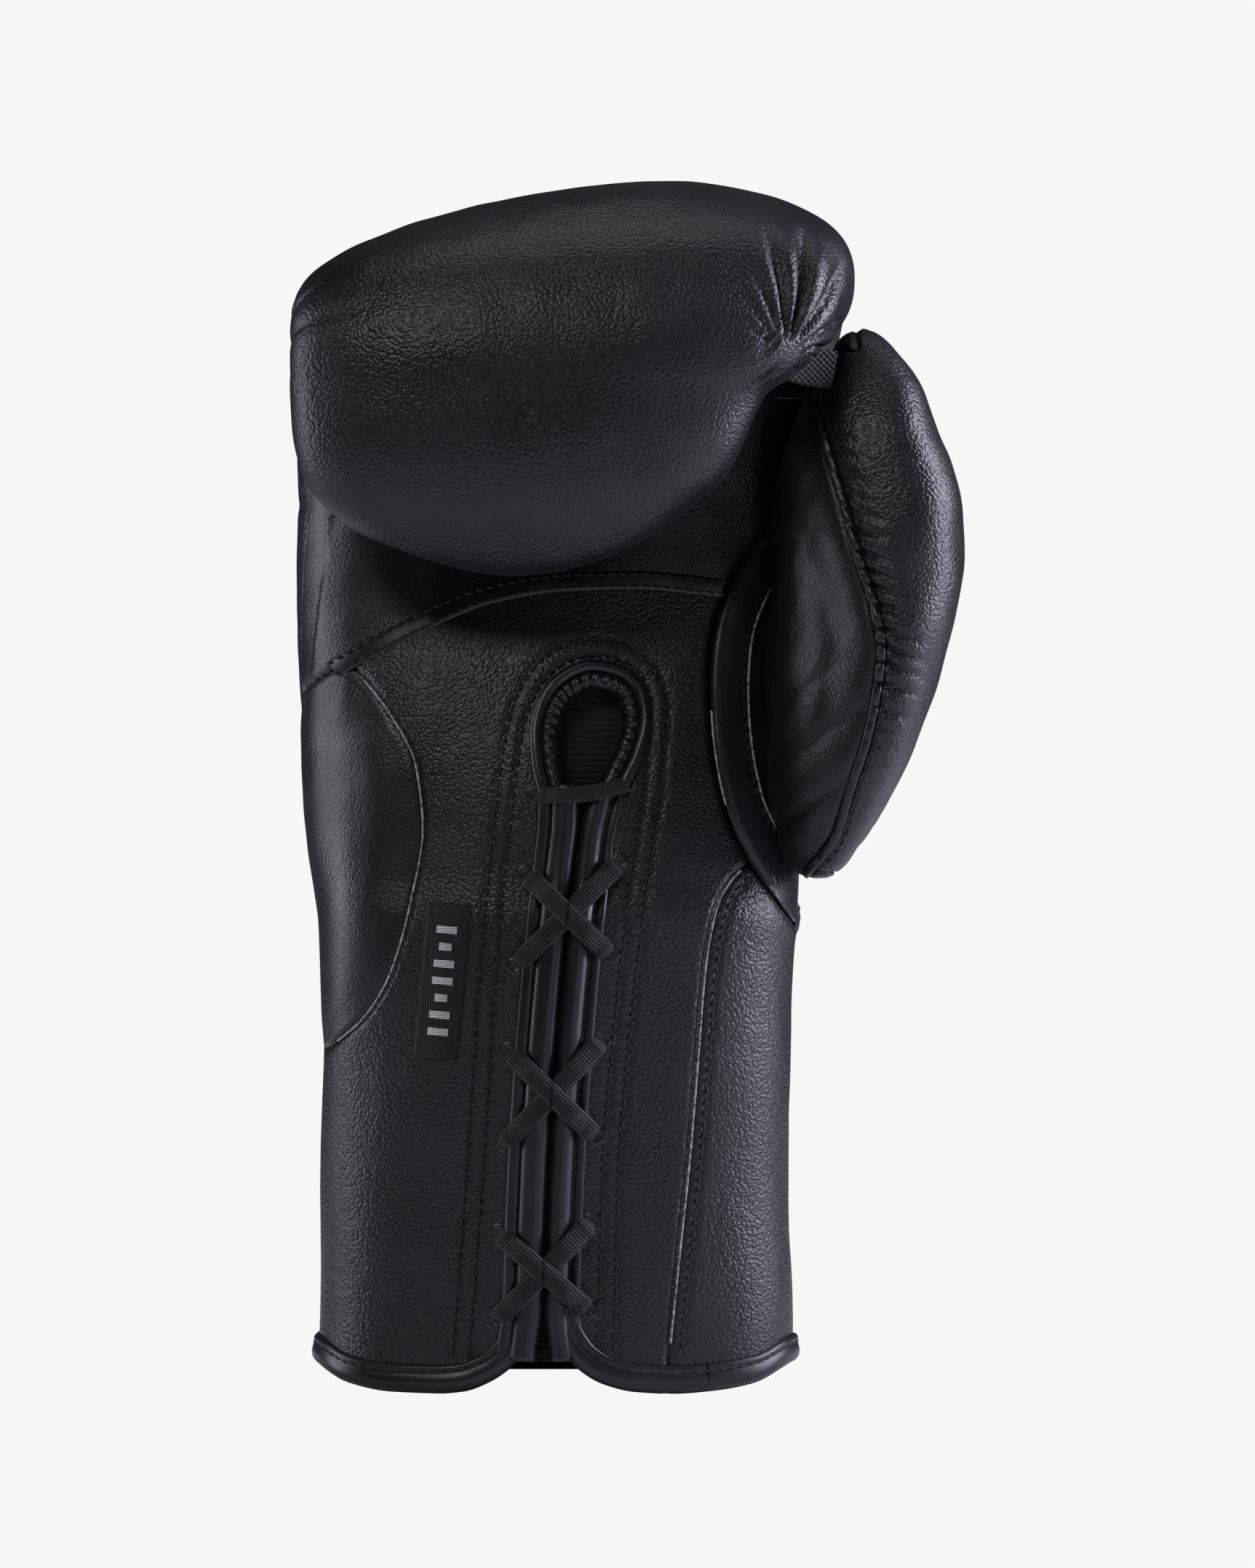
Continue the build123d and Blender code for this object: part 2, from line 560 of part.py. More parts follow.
with BuildPart() as pinky_side_panel:
    add(palm_leather.part)
    extrude(pinky_zone(-PARTING), amount=REACH, mode=Mode.INTERSECT)
    extrude(above_seam(SEAM_STRIP_WIDTH + PARTING), amount=REACH, mode=Mode.SUBTRACT)
pieces["pinky_side_panel"] = pinky_side_panel

with BuildPart() as thumb_side_cuff_panel:
    add(palm_leather.part)
    extrude(cuff_side_zone(-PARTING), amount=REACH, mode=Mode.INTERSECT)
    extrude(gusset_zone(-PARTING), amount=REACH, mode=Mode.SUBTRACT)
    add(flap_wedge, mode=Mode.SUBTRACT)
pieces["thumb_side_cuff_panel"] = thumb_side_cuff_panel

with BuildPart() as thumb_gusset_band:
    add(palm_leather.part)
    extrude(gusset_zone(PARTING), amount=REACH, mode=Mode.INTERSECT)
    extrude(gusset_zone(GUSSET_WIDTH), amount=REACH, mode=Mode.SUBTRACT)
pieces["thumb_gusset_band"] = thumb_gusset_band

with BuildPart() as thumb_web_panel:
    add(palm_leather.part)
    extrude(gusset_zone(GUSSET_WIDTH + LAYER_GAP), amount=REACH, mode=Mode.INTERSECT)
pieces["thumb_web_panel"] = thumb_web_panel

LABEL_X = CUFF_LEFT + 35.0
LABEL_Z = WRIST_Z - 15.0
LABEL_TILT = 4.5
with BuildPart() as side_label:
    add(form(TUBE, -LABEL_THICKNESS))
    add(form(TUBE, -LAYER_GAP), mode=Mode.SUBTRACT)
    with BuildSketch(front()):
        with Locations(Location((LABEL_X, LABEL_Z), -LABEL_TILT)):
            Rectangle(LABEL_WIDTH, LABEL_LENGTH)
    extrude(amount=REACH, mode=Mode.INTERSECT)
pieces["side_label"] = side_label

# ---------------------------------------------------------------- back of the cuff
with BuildPart() as back_cuff_panel:
    add(leather_tube.part)
    add(cuff_back, mode=Mode.INTERSECT)
pieces["back_cuff_panel"] = back_cuff_panel

with BuildPart() as back_cuff_foam:
    add(foam_tube.part)
    add(cuff_back, mode=Mode.INTERSECT)
pieces["back_cuff_foam"] = back_cuff_foam

with BuildPart() as wrist_band:
    add(form(TUBE, -LAYER_GAP - WRIST_BAND_THICKNESS))
    add(form(TUBE, -LAYER_GAP), mode=Mode.SUBTRACT)
    add(
        slab(WRIST_Z - WRIST_BAND_HEIGHT / 2, WRIST_Z + WRIST_BAND_HEIGHT / 2, near=BACK_NEAR),
        mode=Mode.INTERSECT,
    )
pieces["wrist_band"] = wrist_band

# ---------------------------------------------------------------- hem binding: folded over the cuff's lower edge
with BuildPart() as hem_wall:
    add(form(TUBE, -LAYER_GAP - HEM_THICKNESS))
    add(form(TUBE_HOLLOW, LINING + LAYER_GAP + HEM_THICKNESS), mode=Mode.SUBTRACT)
    add(slab(UNDER, HEM_HEIGHT), mode=Mode.INTERSECT)

with BuildPart() as hem_core:
    add(form(TUBE, -LAYER_GAP))
    add(form(TUBE_HOLLOW, LINING + LAYER_GAP), mode=Mode.SUBTRACT)
    add(slab(HEM_THICKNESS, 2 * HEM_HEIGHT), mode=Mode.INTERSECT)

with BuildPart() as hem_binding:
    add(hem_wall.part)
    add(hem_core.part, mode=Mode.SUBTRACT)
    add(flap_wedge, mode=Mode.SUBTRACT)
pieces["hem_binding"] = hem_binding

# ---------------------------------------------------------------- lacing flaps
FLAPS = (("pinky_flap", -1), ("thumb_flap", 1))
for flap, side in FLAPS:
    inner_outline = flap_outline(side, FLAP_GAP / 2 + INNER_RECESS)
    panel_outline = flap_outline(side, FLAP_GAP / 2 + EDGE_ROLL_WIDTH + LAYER_GAP)
    with BuildPart() as flap_leather:
        add(palm_leather.part)
        extrude(panel_outline, amount=REACH, mode=Mode.INTERSECT)
        add(hole_pins, mode=Mode.SUBTRACT)
    pieces[f"{flap}_leather"] = flap_leather
    with BuildPart() as flap_edge:
        add(palm_leather.part)
        extrude(flap_outline(side, FLAP_GAP / 2), amount=REACH, mode=Mode.INTERSECT)
        beyond = flap_outline(side, FLAP_GAP / 2 + EDGE_ROLL_WIDTH, -4 * FOLD_CLEARANCE)
        extrude(beyond, amount=REACH, mode=Mode.SUBTRACT)
    pieces[f"{flap}_edge_roll"] = flap_edge
    with BuildPart() as flap_foam:
        add(palm_foam_wall.part)
        extrude(inner_outline, amount=REACH, mode=Mode.INTERSECT)
    pieces[f"{flap}_foam"] = flap_foam
    with BuildPart() as flap_lining:
        add(lining_tube.part)
        add(palm_side, mode=Mode.INTERSECT)
        extrude(inner_outline, amount=REACH, mode=Mode.INTERSECT)
        add(hole_pins, mode=Mode.SUBTRACT)
    pieces[f"{flap}_lining"] = flap_lining
    with BuildPart() as flap_hem:
        add(hem_wall.part)
        add(hem_core.part, mode=Mode.SUBTRACT)
        extrude(inner_outline, amount=REACH, mode=Mode.INTERSECT)
    pieces[f"{flap}_hem"] = flap_hem

# ---------------------------------------------------------------- throat of the lacing
PIPING_IN = THROAT_RADIUS + THROAT_ROLL + LAYER_GAP
with BuildPart() as throat_collar:
    add(form(TUBE, -1.0))
    add(form(TUBE, LEATHER + THROAT_ROLL), mode=Mode.SUBTRACT)
    extrude(throat_ring(THROAT_RADIUS, THROAT_RADIUS + THROAT_ROLL), amount=REACH, mode=Mode.INTERSECT)
pieces["throat_collar"] = throat_collar

with BuildPart() as throat_piping:
    add(form(TUBE, -1.2))
    add(form(TUBE, LEATHER), mode=Mode.SUBTRACT)
    extrude(throat_ring(PIPING_IN, PIPING_IN + THROAT_PIPING), amount=REACH, mode=Mode.INTERSECT)
pieces["throat_piping"] = throat_piping

# ---------------------------------------------------------------- tongue
TONGUE_FOOT_Y = CUFF_PALM_Y + CUFF_WALL + LINING + LACE_THICKNESS + 1.6
TONGUE_TOP_Y = CROOK_Y + 1.0
TONGUE_RISE = TONGUE_TOP_Z - TONGUE_FOOT_Z
TONGUE_SLOPE = math.atan2(TONGUE_TOP_Y - TONGUE_FOOT_Y, TONGUE_RISE)
TONGUE_X = (gap_x(TONGUE_FOOT_Z) + gap_x(TONGUE_TOP_Z)) / 2


def tongue_plane(depth):
    """Plane of the tongue's face moved back by the depth; it looks to the palm."""
    return Plane(
        origin=(TONGUE_X, TONGUE_FOOT_Y + depth, TONGUE_FOOT_Z),
        x_dir=(1, 0, 0),
        z_dir=(0, -math.cos(TONGUE_SLOPE), math.sin(TONGUE_SLOPE)),
    )


def tongue_sheet(depth, thickness):
    """One layer of the tongue."""
    with BuildPart() as sheet:
        with BuildSketch(tongue_plane(depth + thickness)):
            with Locations((0, TONGUE_RISE / 2)):
                RectangleRounded(TONGUE_WIDTH, TONGUE_RISE, TONGUE_WIDTH / 5)
        extrude(amount=thickness)
    return sheet


pieces["tongue_face"] = tongue_sheet(0.0, TONGUE_FACE)
pieces["tongue_foam"] = tongue_sheet(TONGUE_FACE + LAYER_GAP, TONGUE_FOAM)

# ---------------------------------------------------------------- lace: one bar at the top, then three crosses
LACE_LIFT = 1.9
LACE_INSIDE_GAP = 0.8


def wall_y(stations, z):
    """Depth of the palm wall at height z, on straight lines between stations."""
    heights = [plane.origin.Z for plane, *_ in stations[:6]]
    depths = [row[3] for row in stations[:5]] + [stations[5][3]]
    for low in range(5):
        if heights[low] <= z <= heights[low + 1]:
            share = (z - heights[low]) / (heights[low + 1] - heights[low])
            return depths[low] + share * (depths[low + 1] - depths[low])
    return depths[0]


def lace_run(start, end, y):
    """Flat run of lace between two holes whose near face is at depth y."""
    across = Vector(end[0] - start[0], end[1] - start[1])
    angle = math.degrees(math.atan2(across.Y, across.X))
    middle = ((start[0] + end[0]) / 2, (start[1] + end[1]) / 2)
    with BuildSketch(front(y)) as run:
        with Locations(Location(middle, angle)):
            SlotCenterToCenter(across.length, LACE_WIDTH)
    return extrude(run.sketch, amount=LACE_THICKNESS)


lace_bars = []
top_z = HOLE_HEIGHTS[0]
top_y = wall_y(TUBE, top_z - LACE_WIDTH) - LACE_LIFT
lace_bars.append(lace_run(hole(-1, top_z), hole(1, top_z), top_y))
for number in range(1, len(HOLE_HEIGHTS), 2):
    upper, lower = HOLE_HEIGHTS[number], HOLE_HEIGHTS[number + 1]
    outside = min(wall_y(TUBE, upper), wall_y(TUBE, lower)) - LACE_LIFT
    lace_bars.append(lace_run(hole(1, upper), hole(-1, lower), outside))
    lace_bars.append(lace_run(hole(-1, upper), hole(1, lower), outside - LACE_THICKNESS))
for number in range(0, len(HOLE_HEIGHTS) - 1, 2):
    upper, lower = HOLE_HEIGHTS[number], HOLE_HEIGHTS[number + 1]
    inside = max(wall_y(TUBE_HOLLOW, upper), wall_y(TUBE_HOLLOW, lower)) + LINING + LACE_INSIDE_GAP + LACE_THICKNESS
    for side in (-1, 1):
        lace_bars.append(lace_run(hole(side, upper), hole(side, lower), inside))

with BuildPart() as lace:
    for bar in lace_bars:
        add(bar)
    for z in HOLE_HEIGHTS:
        near = wall_y(TUBE_HOLLOW, z) + LINING + LACE_INSIDE_GAP + LACE_THICKNESS / 2
        far = wall_y(TUBE, z) - LACE_LIFT - LACE_THICKNESS / 2
        with BuildSketch(front(near)):
            with Locations(hole(-1, z), hole(1, z)):
                Circle(LACE_CORE_DIAMETER / 2)
        extrude(amount=near - far)
pieces["lace"] = lace

# ---------------------------------------------------------------- thumb
PIPING_WIDTH = 1.8
PIPING_TOP = (THUMB_LEFT + 13.0, THUMB_TIP_Z - 14.0)
PIPING_MIDDLE = (THUMB_LEFT + 32.0, WRIST_Z + 74.0)
PIPING_FOOT = (THUMB_LEFT + 10.0, THUMB_FOOT_Z - 4.0)
THUMB_FRONT_Y = -10.0


def thumb_front_zone(offset):
    """Palm-facing part of the thumb, inside its seam; the offset moves the seam outwards."""
    with BuildSketch(front(THUMB_FRONT_Y)) as outline:
        with BuildLine():
            top = (PIPING_TOP[0], PIPING_TOP[1] + offset)
            foot = (PIPING_FOOT[0], PIPING_FOOT[1] - offset)
            ThreePointArc(top, (PIPING_MIDDLE[0] + offset, PIPING_MIDDLE[1]), foot)
            Line(foot, (0, foot[1]))
            Line((0, foot[1]), (0, top[1]))
            Line((0, top[1]), top)
        make_face()
    return outline.sketch


tube_keepout = form(TUBE, -THUMB_CLEARANCE)
curl_keepout = form(CURL, -THUMB_CLEARANCE)
both_ends = (True, True)

with BuildPart() as thumb_wall:
    add(form(THUMB))
    add(form(THUMB, LEATHER, both_ends), mode=Mode.SUBTRACT)
    add(tube_keepout, mode=Mode.SUBTRACT)
    add(curl_keepout, mode=Mode.SUBTRACT)
    add(port, mode=Mode.SUBTRACT)

with BuildPart() as thumb_leather:
    add(thumb_wall.part)
    extrude(thumb_front_zone(PIPING_WIDTH + LAYER_GAP), amount=REACH, mode=Mode.SUBTRACT)
pieces["thumb_leather"] = thumb_leather

with BuildPart() as thumb_piping:
    add(thumb_wall.part)
    extrude(thumb_front_zone(PIPING_WIDTH), amount=REACH, mode=Mode.INTERSECT)
    extrude(thumb_front_zone(0.0), amount=REACH, mode=Mode.SUBTRACT)
pieces["thumb_piping"] = thumb_piping

with BuildPart() as thumb_inner_panel:
    add(thumb_wall.part)
    extrude(thumb_front_zone(-LAYER_GAP), amount=REACH, mode=Mode.INTERSECT)
pieces["thumb_inner_panel"] = thumb_inner_panel

with BuildPart() as thumb_foam:
    add(form(THUMB, LEATHER + LAYER_GAP, both_ends))
    add(form(THUMB_HOLLOW, -LAYER_GAP, both_ends), mode=Mode.SUBTRACT)
    add(tube_keepout, mode=Mode.SUBTRACT)
    add(curl_keepout, mode=Mode.SUBTRACT)
    add(port, mode=Mode.SUBTRACT)
pieces["thumb_foam"] = thumb_foam

with BuildPart() as thumb_lining:
    add(form(THUMB_HOLLOW))
    add(form(THUMB_HOLLOW, LINING, both_ends), mode=Mode.SUBTRACT)
    add(tube_keepout, mode=Mode.SUBTRACT)
    add(curl_keepout, mode=Mode.SUBTRACT)
    add(port, mode=Mode.SUBTRACT)
pieces["thumb_lining"] = thumb_lining

STRAP_Z = CROOK_Z + 5.5
STRAP_Y = -31.0
with BuildPart() as thumb_strap:
    with BuildSketch(front(STRAP_Y + STRAP_THICKNESS)):
        with Locations(((CUFF_RIGHT - 1.0 + THUMB_LEFT + 24.0) / 2, STRAP_Z)):
            Rectangle(THUMB_LEFT + 25.0 - CUFF_RIGHT, STRAP_WIDTH)
    extrude(amount=STRAP_THICKNESS)
    add(form(CURL, -LAYER_GAP), mode=Mode.SUBTRACT)
    add(form(THUMB, -LAYER_GAP), mode=Mode.SUBTRACT)
pieces["thumb_strap"] = thumb_strap

# ---------------------------------------------------------------- files
for name, piece in pieces.items():
    piece.part.label = name
    export_step(piece.part, f"parts/{name}.step")
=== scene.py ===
"""Looks and studio scene of a laced boxing glove for the right hand.

The glove stands on its hem. +Z runs to the knuckles, +X to the thumb and -Y is the laced palm.
Shapes are worked out in millimetres and turned into metres when a mesh is made.
"""

import json
import logging
import math
from collections.abc import Callable, Sequence
from dataclasses import dataclass, field
from enum import Enum

import bpy
import numpy as np
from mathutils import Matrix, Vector
from mathutils.bvhtree import BVHTree

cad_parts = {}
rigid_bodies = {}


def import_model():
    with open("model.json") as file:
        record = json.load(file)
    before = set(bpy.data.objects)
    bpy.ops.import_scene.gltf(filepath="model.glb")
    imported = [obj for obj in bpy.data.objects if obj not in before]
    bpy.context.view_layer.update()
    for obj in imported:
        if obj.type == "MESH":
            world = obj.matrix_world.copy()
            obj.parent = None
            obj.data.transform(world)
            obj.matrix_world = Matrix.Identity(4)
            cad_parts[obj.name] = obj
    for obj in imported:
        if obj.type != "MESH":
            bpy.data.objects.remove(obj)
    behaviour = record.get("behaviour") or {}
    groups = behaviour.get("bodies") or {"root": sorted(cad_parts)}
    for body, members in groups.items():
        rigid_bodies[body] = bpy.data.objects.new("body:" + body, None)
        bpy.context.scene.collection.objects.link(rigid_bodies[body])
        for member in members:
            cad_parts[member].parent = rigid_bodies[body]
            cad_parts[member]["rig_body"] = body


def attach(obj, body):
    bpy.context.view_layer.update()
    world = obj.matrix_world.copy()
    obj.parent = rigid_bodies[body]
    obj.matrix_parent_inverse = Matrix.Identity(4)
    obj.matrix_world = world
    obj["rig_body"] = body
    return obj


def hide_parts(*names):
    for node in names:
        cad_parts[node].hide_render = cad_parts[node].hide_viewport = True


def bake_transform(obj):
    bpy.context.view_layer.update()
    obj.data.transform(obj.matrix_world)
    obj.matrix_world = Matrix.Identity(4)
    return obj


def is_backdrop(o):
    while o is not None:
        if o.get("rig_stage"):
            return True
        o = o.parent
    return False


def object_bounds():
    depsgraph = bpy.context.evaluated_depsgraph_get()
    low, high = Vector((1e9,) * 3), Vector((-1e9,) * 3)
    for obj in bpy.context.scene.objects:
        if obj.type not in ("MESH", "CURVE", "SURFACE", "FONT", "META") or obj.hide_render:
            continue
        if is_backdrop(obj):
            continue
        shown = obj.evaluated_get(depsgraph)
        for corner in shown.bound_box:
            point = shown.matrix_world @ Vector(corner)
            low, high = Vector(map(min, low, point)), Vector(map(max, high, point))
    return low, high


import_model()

LOG = logging.getLogger("boxing_glove")
MM = 0.001
Array = np.ndarray
Lift = Callable[[Array, Array], tuple[Array, Array]]

# ---------------------------------------------------------------- driving sizes, in millimetres
CROOK_Y = -14.0
CROOK_Z = 272.0
TURN_LENGTH = 170.0
FLOOR_GAP = 0.15
SIDE_Y = 7.0
LEATHER = 1.6
THROAT_X = -9.3
STITCH_PITCH = 3.0


class Half(Enum):
    """Side of the lacing gap."""

    PINKY = -1
    THUMB = 1


# ---------------------------------------------------------------- small numeric helpers
def smooth(low: float, high: float, value: Array) -> Array:
    """Smooth step from 0 at low to 1 at high."""
    part = np.clip((value - low) / (high - low), 0.0, 1.0)
    return part * part * (3.0 - 2.0 * part)


def pchip(knots: Array, values: Array, at: Array) -> Array:
    """Monotone cubic through rows of values.

    Args:
        knots: rising parameter of each row.
        values: one row per knot.
        at: parameters to evaluate.

    Returns:
        One interpolated row per parameter.
    """
    values = values.reshape(len(knots), -1)
    step = np.diff(knots)[:, None]
    slope = np.diff(values, axis=0) / step
    tangent = np.zeros_like(values)
    first, second = slope[:-1], slope[1:]
    weight_a = 2 * step[1:] + step[:-1]
    weight_b = step[1:] + 2 * step[:-1]
    same = first * second > 0
    safe_a = np.where(same, first, 1.0)
    safe_b = np.where(same, second, 1.0)
    tangent[1:-1] = np.where(same, (weight_a + weight_b) / (weight_a / safe_a + weight_b / safe_b), 0.0)
    tangent[0], tangent[-1] = slope[0], slope[-1]
    index = np.clip(np.searchsorted(knots, at, side="right") - 1, 0, len(knots) - 2)
    width = step[index]
    u = ((at - knots[index]) / width[:, 0])[:, None]
    return (
        (1 + 2 * u) * (1 - u) ** 2 * values[index]
        + u * (1 - u) ** 2 * width * tangent[index]
        + u * u * (3 - 2 * u) * values[index + 1]
        + u * u * (u - 1) * width * tangent[index + 1]
    )


def resample(points: Sequence[Sequence[float]], step: float) -> Array:
    """Smooth line through points, at equal steps along it."""
    rows = np.array(points, float)
    along = np.concatenate([[0.0], np.cumsum(np.linalg.norm(np.diff(rows, axis=0), axis=1))])
    dense = pchip(along, rows, np.linspace(0, along[-1], 60 * len(rows)))
    run = np.concatenate([[0.0], np.cumsum(np.linalg.norm(np.diff(dense, axis=0), axis=1))])
    count = max(2, int(round(run[-1] / step)) + 1)
    even = np.linspace(0, run[-1], count)
    return np.stack([np.interp(even, run, dense[:, k]) for k in range(rows.shape[1])], axis=1)


def waves(points: Array, length: float, seed: int) -> Array:
    """Gentle uneven swell between about -1 and 1, with waves of about one length."""
    rng = np.random.default_rng(seed)
    total = np.zeros(len(points))
    for _ in range(7):
        way = rng.normal(size=3)
        way /= np.linalg.norm(way)
        rate = 2 * math.pi / (length * rng.uniform(0.7, 1.5))
        total += np.sin(points @ way * rate + rng.uniform(0, 2 * math.pi))
    return total / 3.0


def gap_x(z: Array) -> Array:
    """Middle of the lacing gap at height z; it is upright above the throat's foot."""
    return np.where(z < 163.0, -23.4 + 11.0 * (np.minimum(z, 163.0) / 163.0) ** 2, THROAT_X - 3.1 + 0 * z)


def x_at(line: Array, outside: float) -> Callable[[Array], Array]:
    """Turn a line that runs along z into a function giving x at each height."""
    ordered = line[np.argsort(line[:, 1])]

    def at(z: Array) -> Array:
        """Give x at height z, and a far value where the line has ended."""
        found = np.interp(z, ordered[:, 1], ordered[:, 0])
        return np.where((z < ordered[0, 1]) | (z > ordered[-1, 1]), outside, found)

    return at


# ---------------------------------------------------------------- finishes
@dataclass(frozen=True)
class Leather:
    """Grained leather with pebble, creases and handling sheen.

    Args:
        name: material name.
        colour: linear base colour.
        rough: middle roughness.
        pebble: cell size of the grain in metres.
        grain: bump depth of the grain in metres.
    """

    name: str
    colour: tuple[float, float, float]
    rough: float
    pebble: float
    grain: float

    def make(self) -> bpy.types.Material:
        """Build the material and return it."""
        tool = NodeTool(self.name)
        coordinates = tool.add("ShaderNodeTexCoord")
        place = coordinates.outputs["Object"]
        warp = tool.noise(place, 90.0, 3.0)
        bent = tool.add("ShaderNodeVectorMath", operation="MULTIPLY_ADD")
        tool.link(warp.outputs["Color"], bent.inputs[0])
        bent.inputs[1].default_value = (0.0004, 0.0004, 0.0004)
        tool.link(place, bent.inputs[2])
        cells = tool.add("ShaderNodeTexVoronoi", feature="SMOOTH_F1")
        cells.inputs["Scale"].default_value = 1.0 / self.pebble
        cells.inputs["Smoothness"].default_value = 0.35
        tool.link(bent.outputs[0], cells.inputs["Vector"])
        fine = tool.noise(place, 2.6 / self.pebble, 4.0)
        swell = tool.noise(place, 38.0, 2.0)
        tint = tool.ramp(swell.outputs["Fac"], 0.25, self.shade(0.78), 0.75, self.shade(1.22))
        tool.link(tint.outputs[0], tool.surface.inputs["Base Color"])
        sheen = tool.ramp(swell.outputs["Fac"], 0.3, (self.rough - 0.05,) * 3, 0.75, (self.rough + 0.06,) * 3)
        tool.link(sheen.outputs[0], tool.surface.inputs["Roughness"])
        tool.surface.inputs["Specular IOR Level"].default_value = 0.5
        tool.surface.inputs["Sheen Weight"].default_value = 0.02
        tool.surface.inputs["Sheen Roughness"].default_value = 0.5
        coarse = tool.bump(cells.outputs["Distance"], self.grain, None, invert=True)
        small = tool.bump(fine.outputs["Fac"], 0.3 * self.grain, coarse)
        soft = tool.bump(swell.outputs["Fac"], 0.0003, small)
        tool.link(soft.outputs[0], tool.surface.inputs["Normal"])
        return tool.material

    def shade(self, factor: float) -> tuple[float, ...]:
        """Base colour made darker or lighter by a factor."""
        return tuple(part * factor for part in self.colour)


class Thread(Enum):
    """How threads lie in a woven finish."""

    TWILL = "diagonal twill"
    PLAIN = "plain weave"
    RIB = "cross ribs"


@dataclass(frozen=True)
class Woven:
    """Woven cloth, tape or rib knit, with crossing threads and stray fuzz.

    Args:
        name: material name.
        colour: linear base colour.
        pitch: distance between threads in metres.
        thread: how the threads lie.
        depth: bump depth in metres.
    """

    name: str
    colour: tuple[float, float, float]
    pitch: float
    thread: Thread
    depth: float

    def make(self) -> bpy.types.Material:
        """Build the material and return it."""
        tool = NodeTool(self.name)
        place = tool.add("ShaderNodeTexCoord").outputs["Object"]
        warp = self.wave(tool, place, (0.0, 0.0, 0.0))
        normal = tool.bump(warp.outputs["Fac"], self.depth, None)
        if self.thread is not Thread.RIB:
            weft = self.wave(tool, place, (0.0, math.pi / 2, 0.0))
            normal = tool.bump(weft.outputs["Fac"], self.depth, normal)
        fuzz = tool.noise(place, 1.5 / self.pitch, 3.0)
        normal = tool.bump(fuzz.outputs["Fac"], 0.5 * self.depth, normal)
        dark = tuple(0.55 * part for part in self.colour)
        light = tuple(1.5 * part for part in self.colour)
        tint = tool.ramp(warp.outputs["Fac"], 0.1, dark, 0.9, light)
        tool.link(tint.outputs[0], tool.surface.inputs["Base Color"])
        tool.surface.inputs["Roughness"].default_value = 0.86
        tool.surface.inputs["Sheen Weight"].default_value = 0.12
        tool.link(normal.outputs[0], tool.surface.inputs["Normal"])
        return tool.material

    def wave(self, tool: "NodeTool", place: bpy.types.NodeSocket, turn: tuple[float, float, float]) -> bpy.types.Node:
        """One set of parallel threads.

        Args:
            tool: node builder of this material.
            place: coordinates to use.
            turn: rotation of the set, in radians.

        Returns:
            The wave texture node.
        """
        extra = math.pi / 4 if self.thread is Thread.TWILL else 0.0
        mapping = tool.add("ShaderNodeMapping")
        mapping.inputs["Rotation"].default_value = (turn[0], turn[1] + extra, turn[2])
        tool.link(place, mapping.inputs["Vector"])
        wave = tool.add("ShaderNodeTexWave", bands_direction="Z")
        wave.inputs["Scale"].default_value = 0.314 / self.pitch
        wave.inputs["Distortion"].default_value = 0.6
        wave.inputs["Detail Scale"].default_value = 2.0
        tool.link(mapping.outputs[0], wave.inputs["Vector"])
        return wave


@dataclass(frozen=True)
class Plain:
    """Even finish with slight mottling, for thread, foam and raw edges.

    Args:
        name: material name.
        colour: linear base colour.
        rough: roughness.
        spot: size of the mottling in metres.
        spread: how far the mottling goes either way, as a share.
    """

    name: str
    colour: tuple[float, float, float]
    rough: float
    spot: float = 0.002
    spread: float = 0.25

    def make(self) -> bpy.types.Material:
        """Build the material and return it."""
        tool = NodeTool(self.name)
        place = tool.add("ShaderNodeTexCoord").outputs["Object"]
        mottle = tool.noise(place, 1.0 / self.spot, 3.0)
        low = tuple(part * (1 - self.spread) for part in self.colour)
        high = tuple(part * (1 + self.spread) for part in self.colour)
        tint = tool.ramp(mottle.outputs["Fac"], 0.35, low, 0.65, high)
        tool.link(tint.outputs[0], tool.surface.inputs["Base Color"])
        tool.surface.inputs["Roughness"].default_value = self.rough
        normal = tool.bump(mottle.outputs["Fac"], 0.05 * self.spot, None)
        tool.link(normal.outputs[0], tool.surface.inputs["Normal"])
        return tool.material


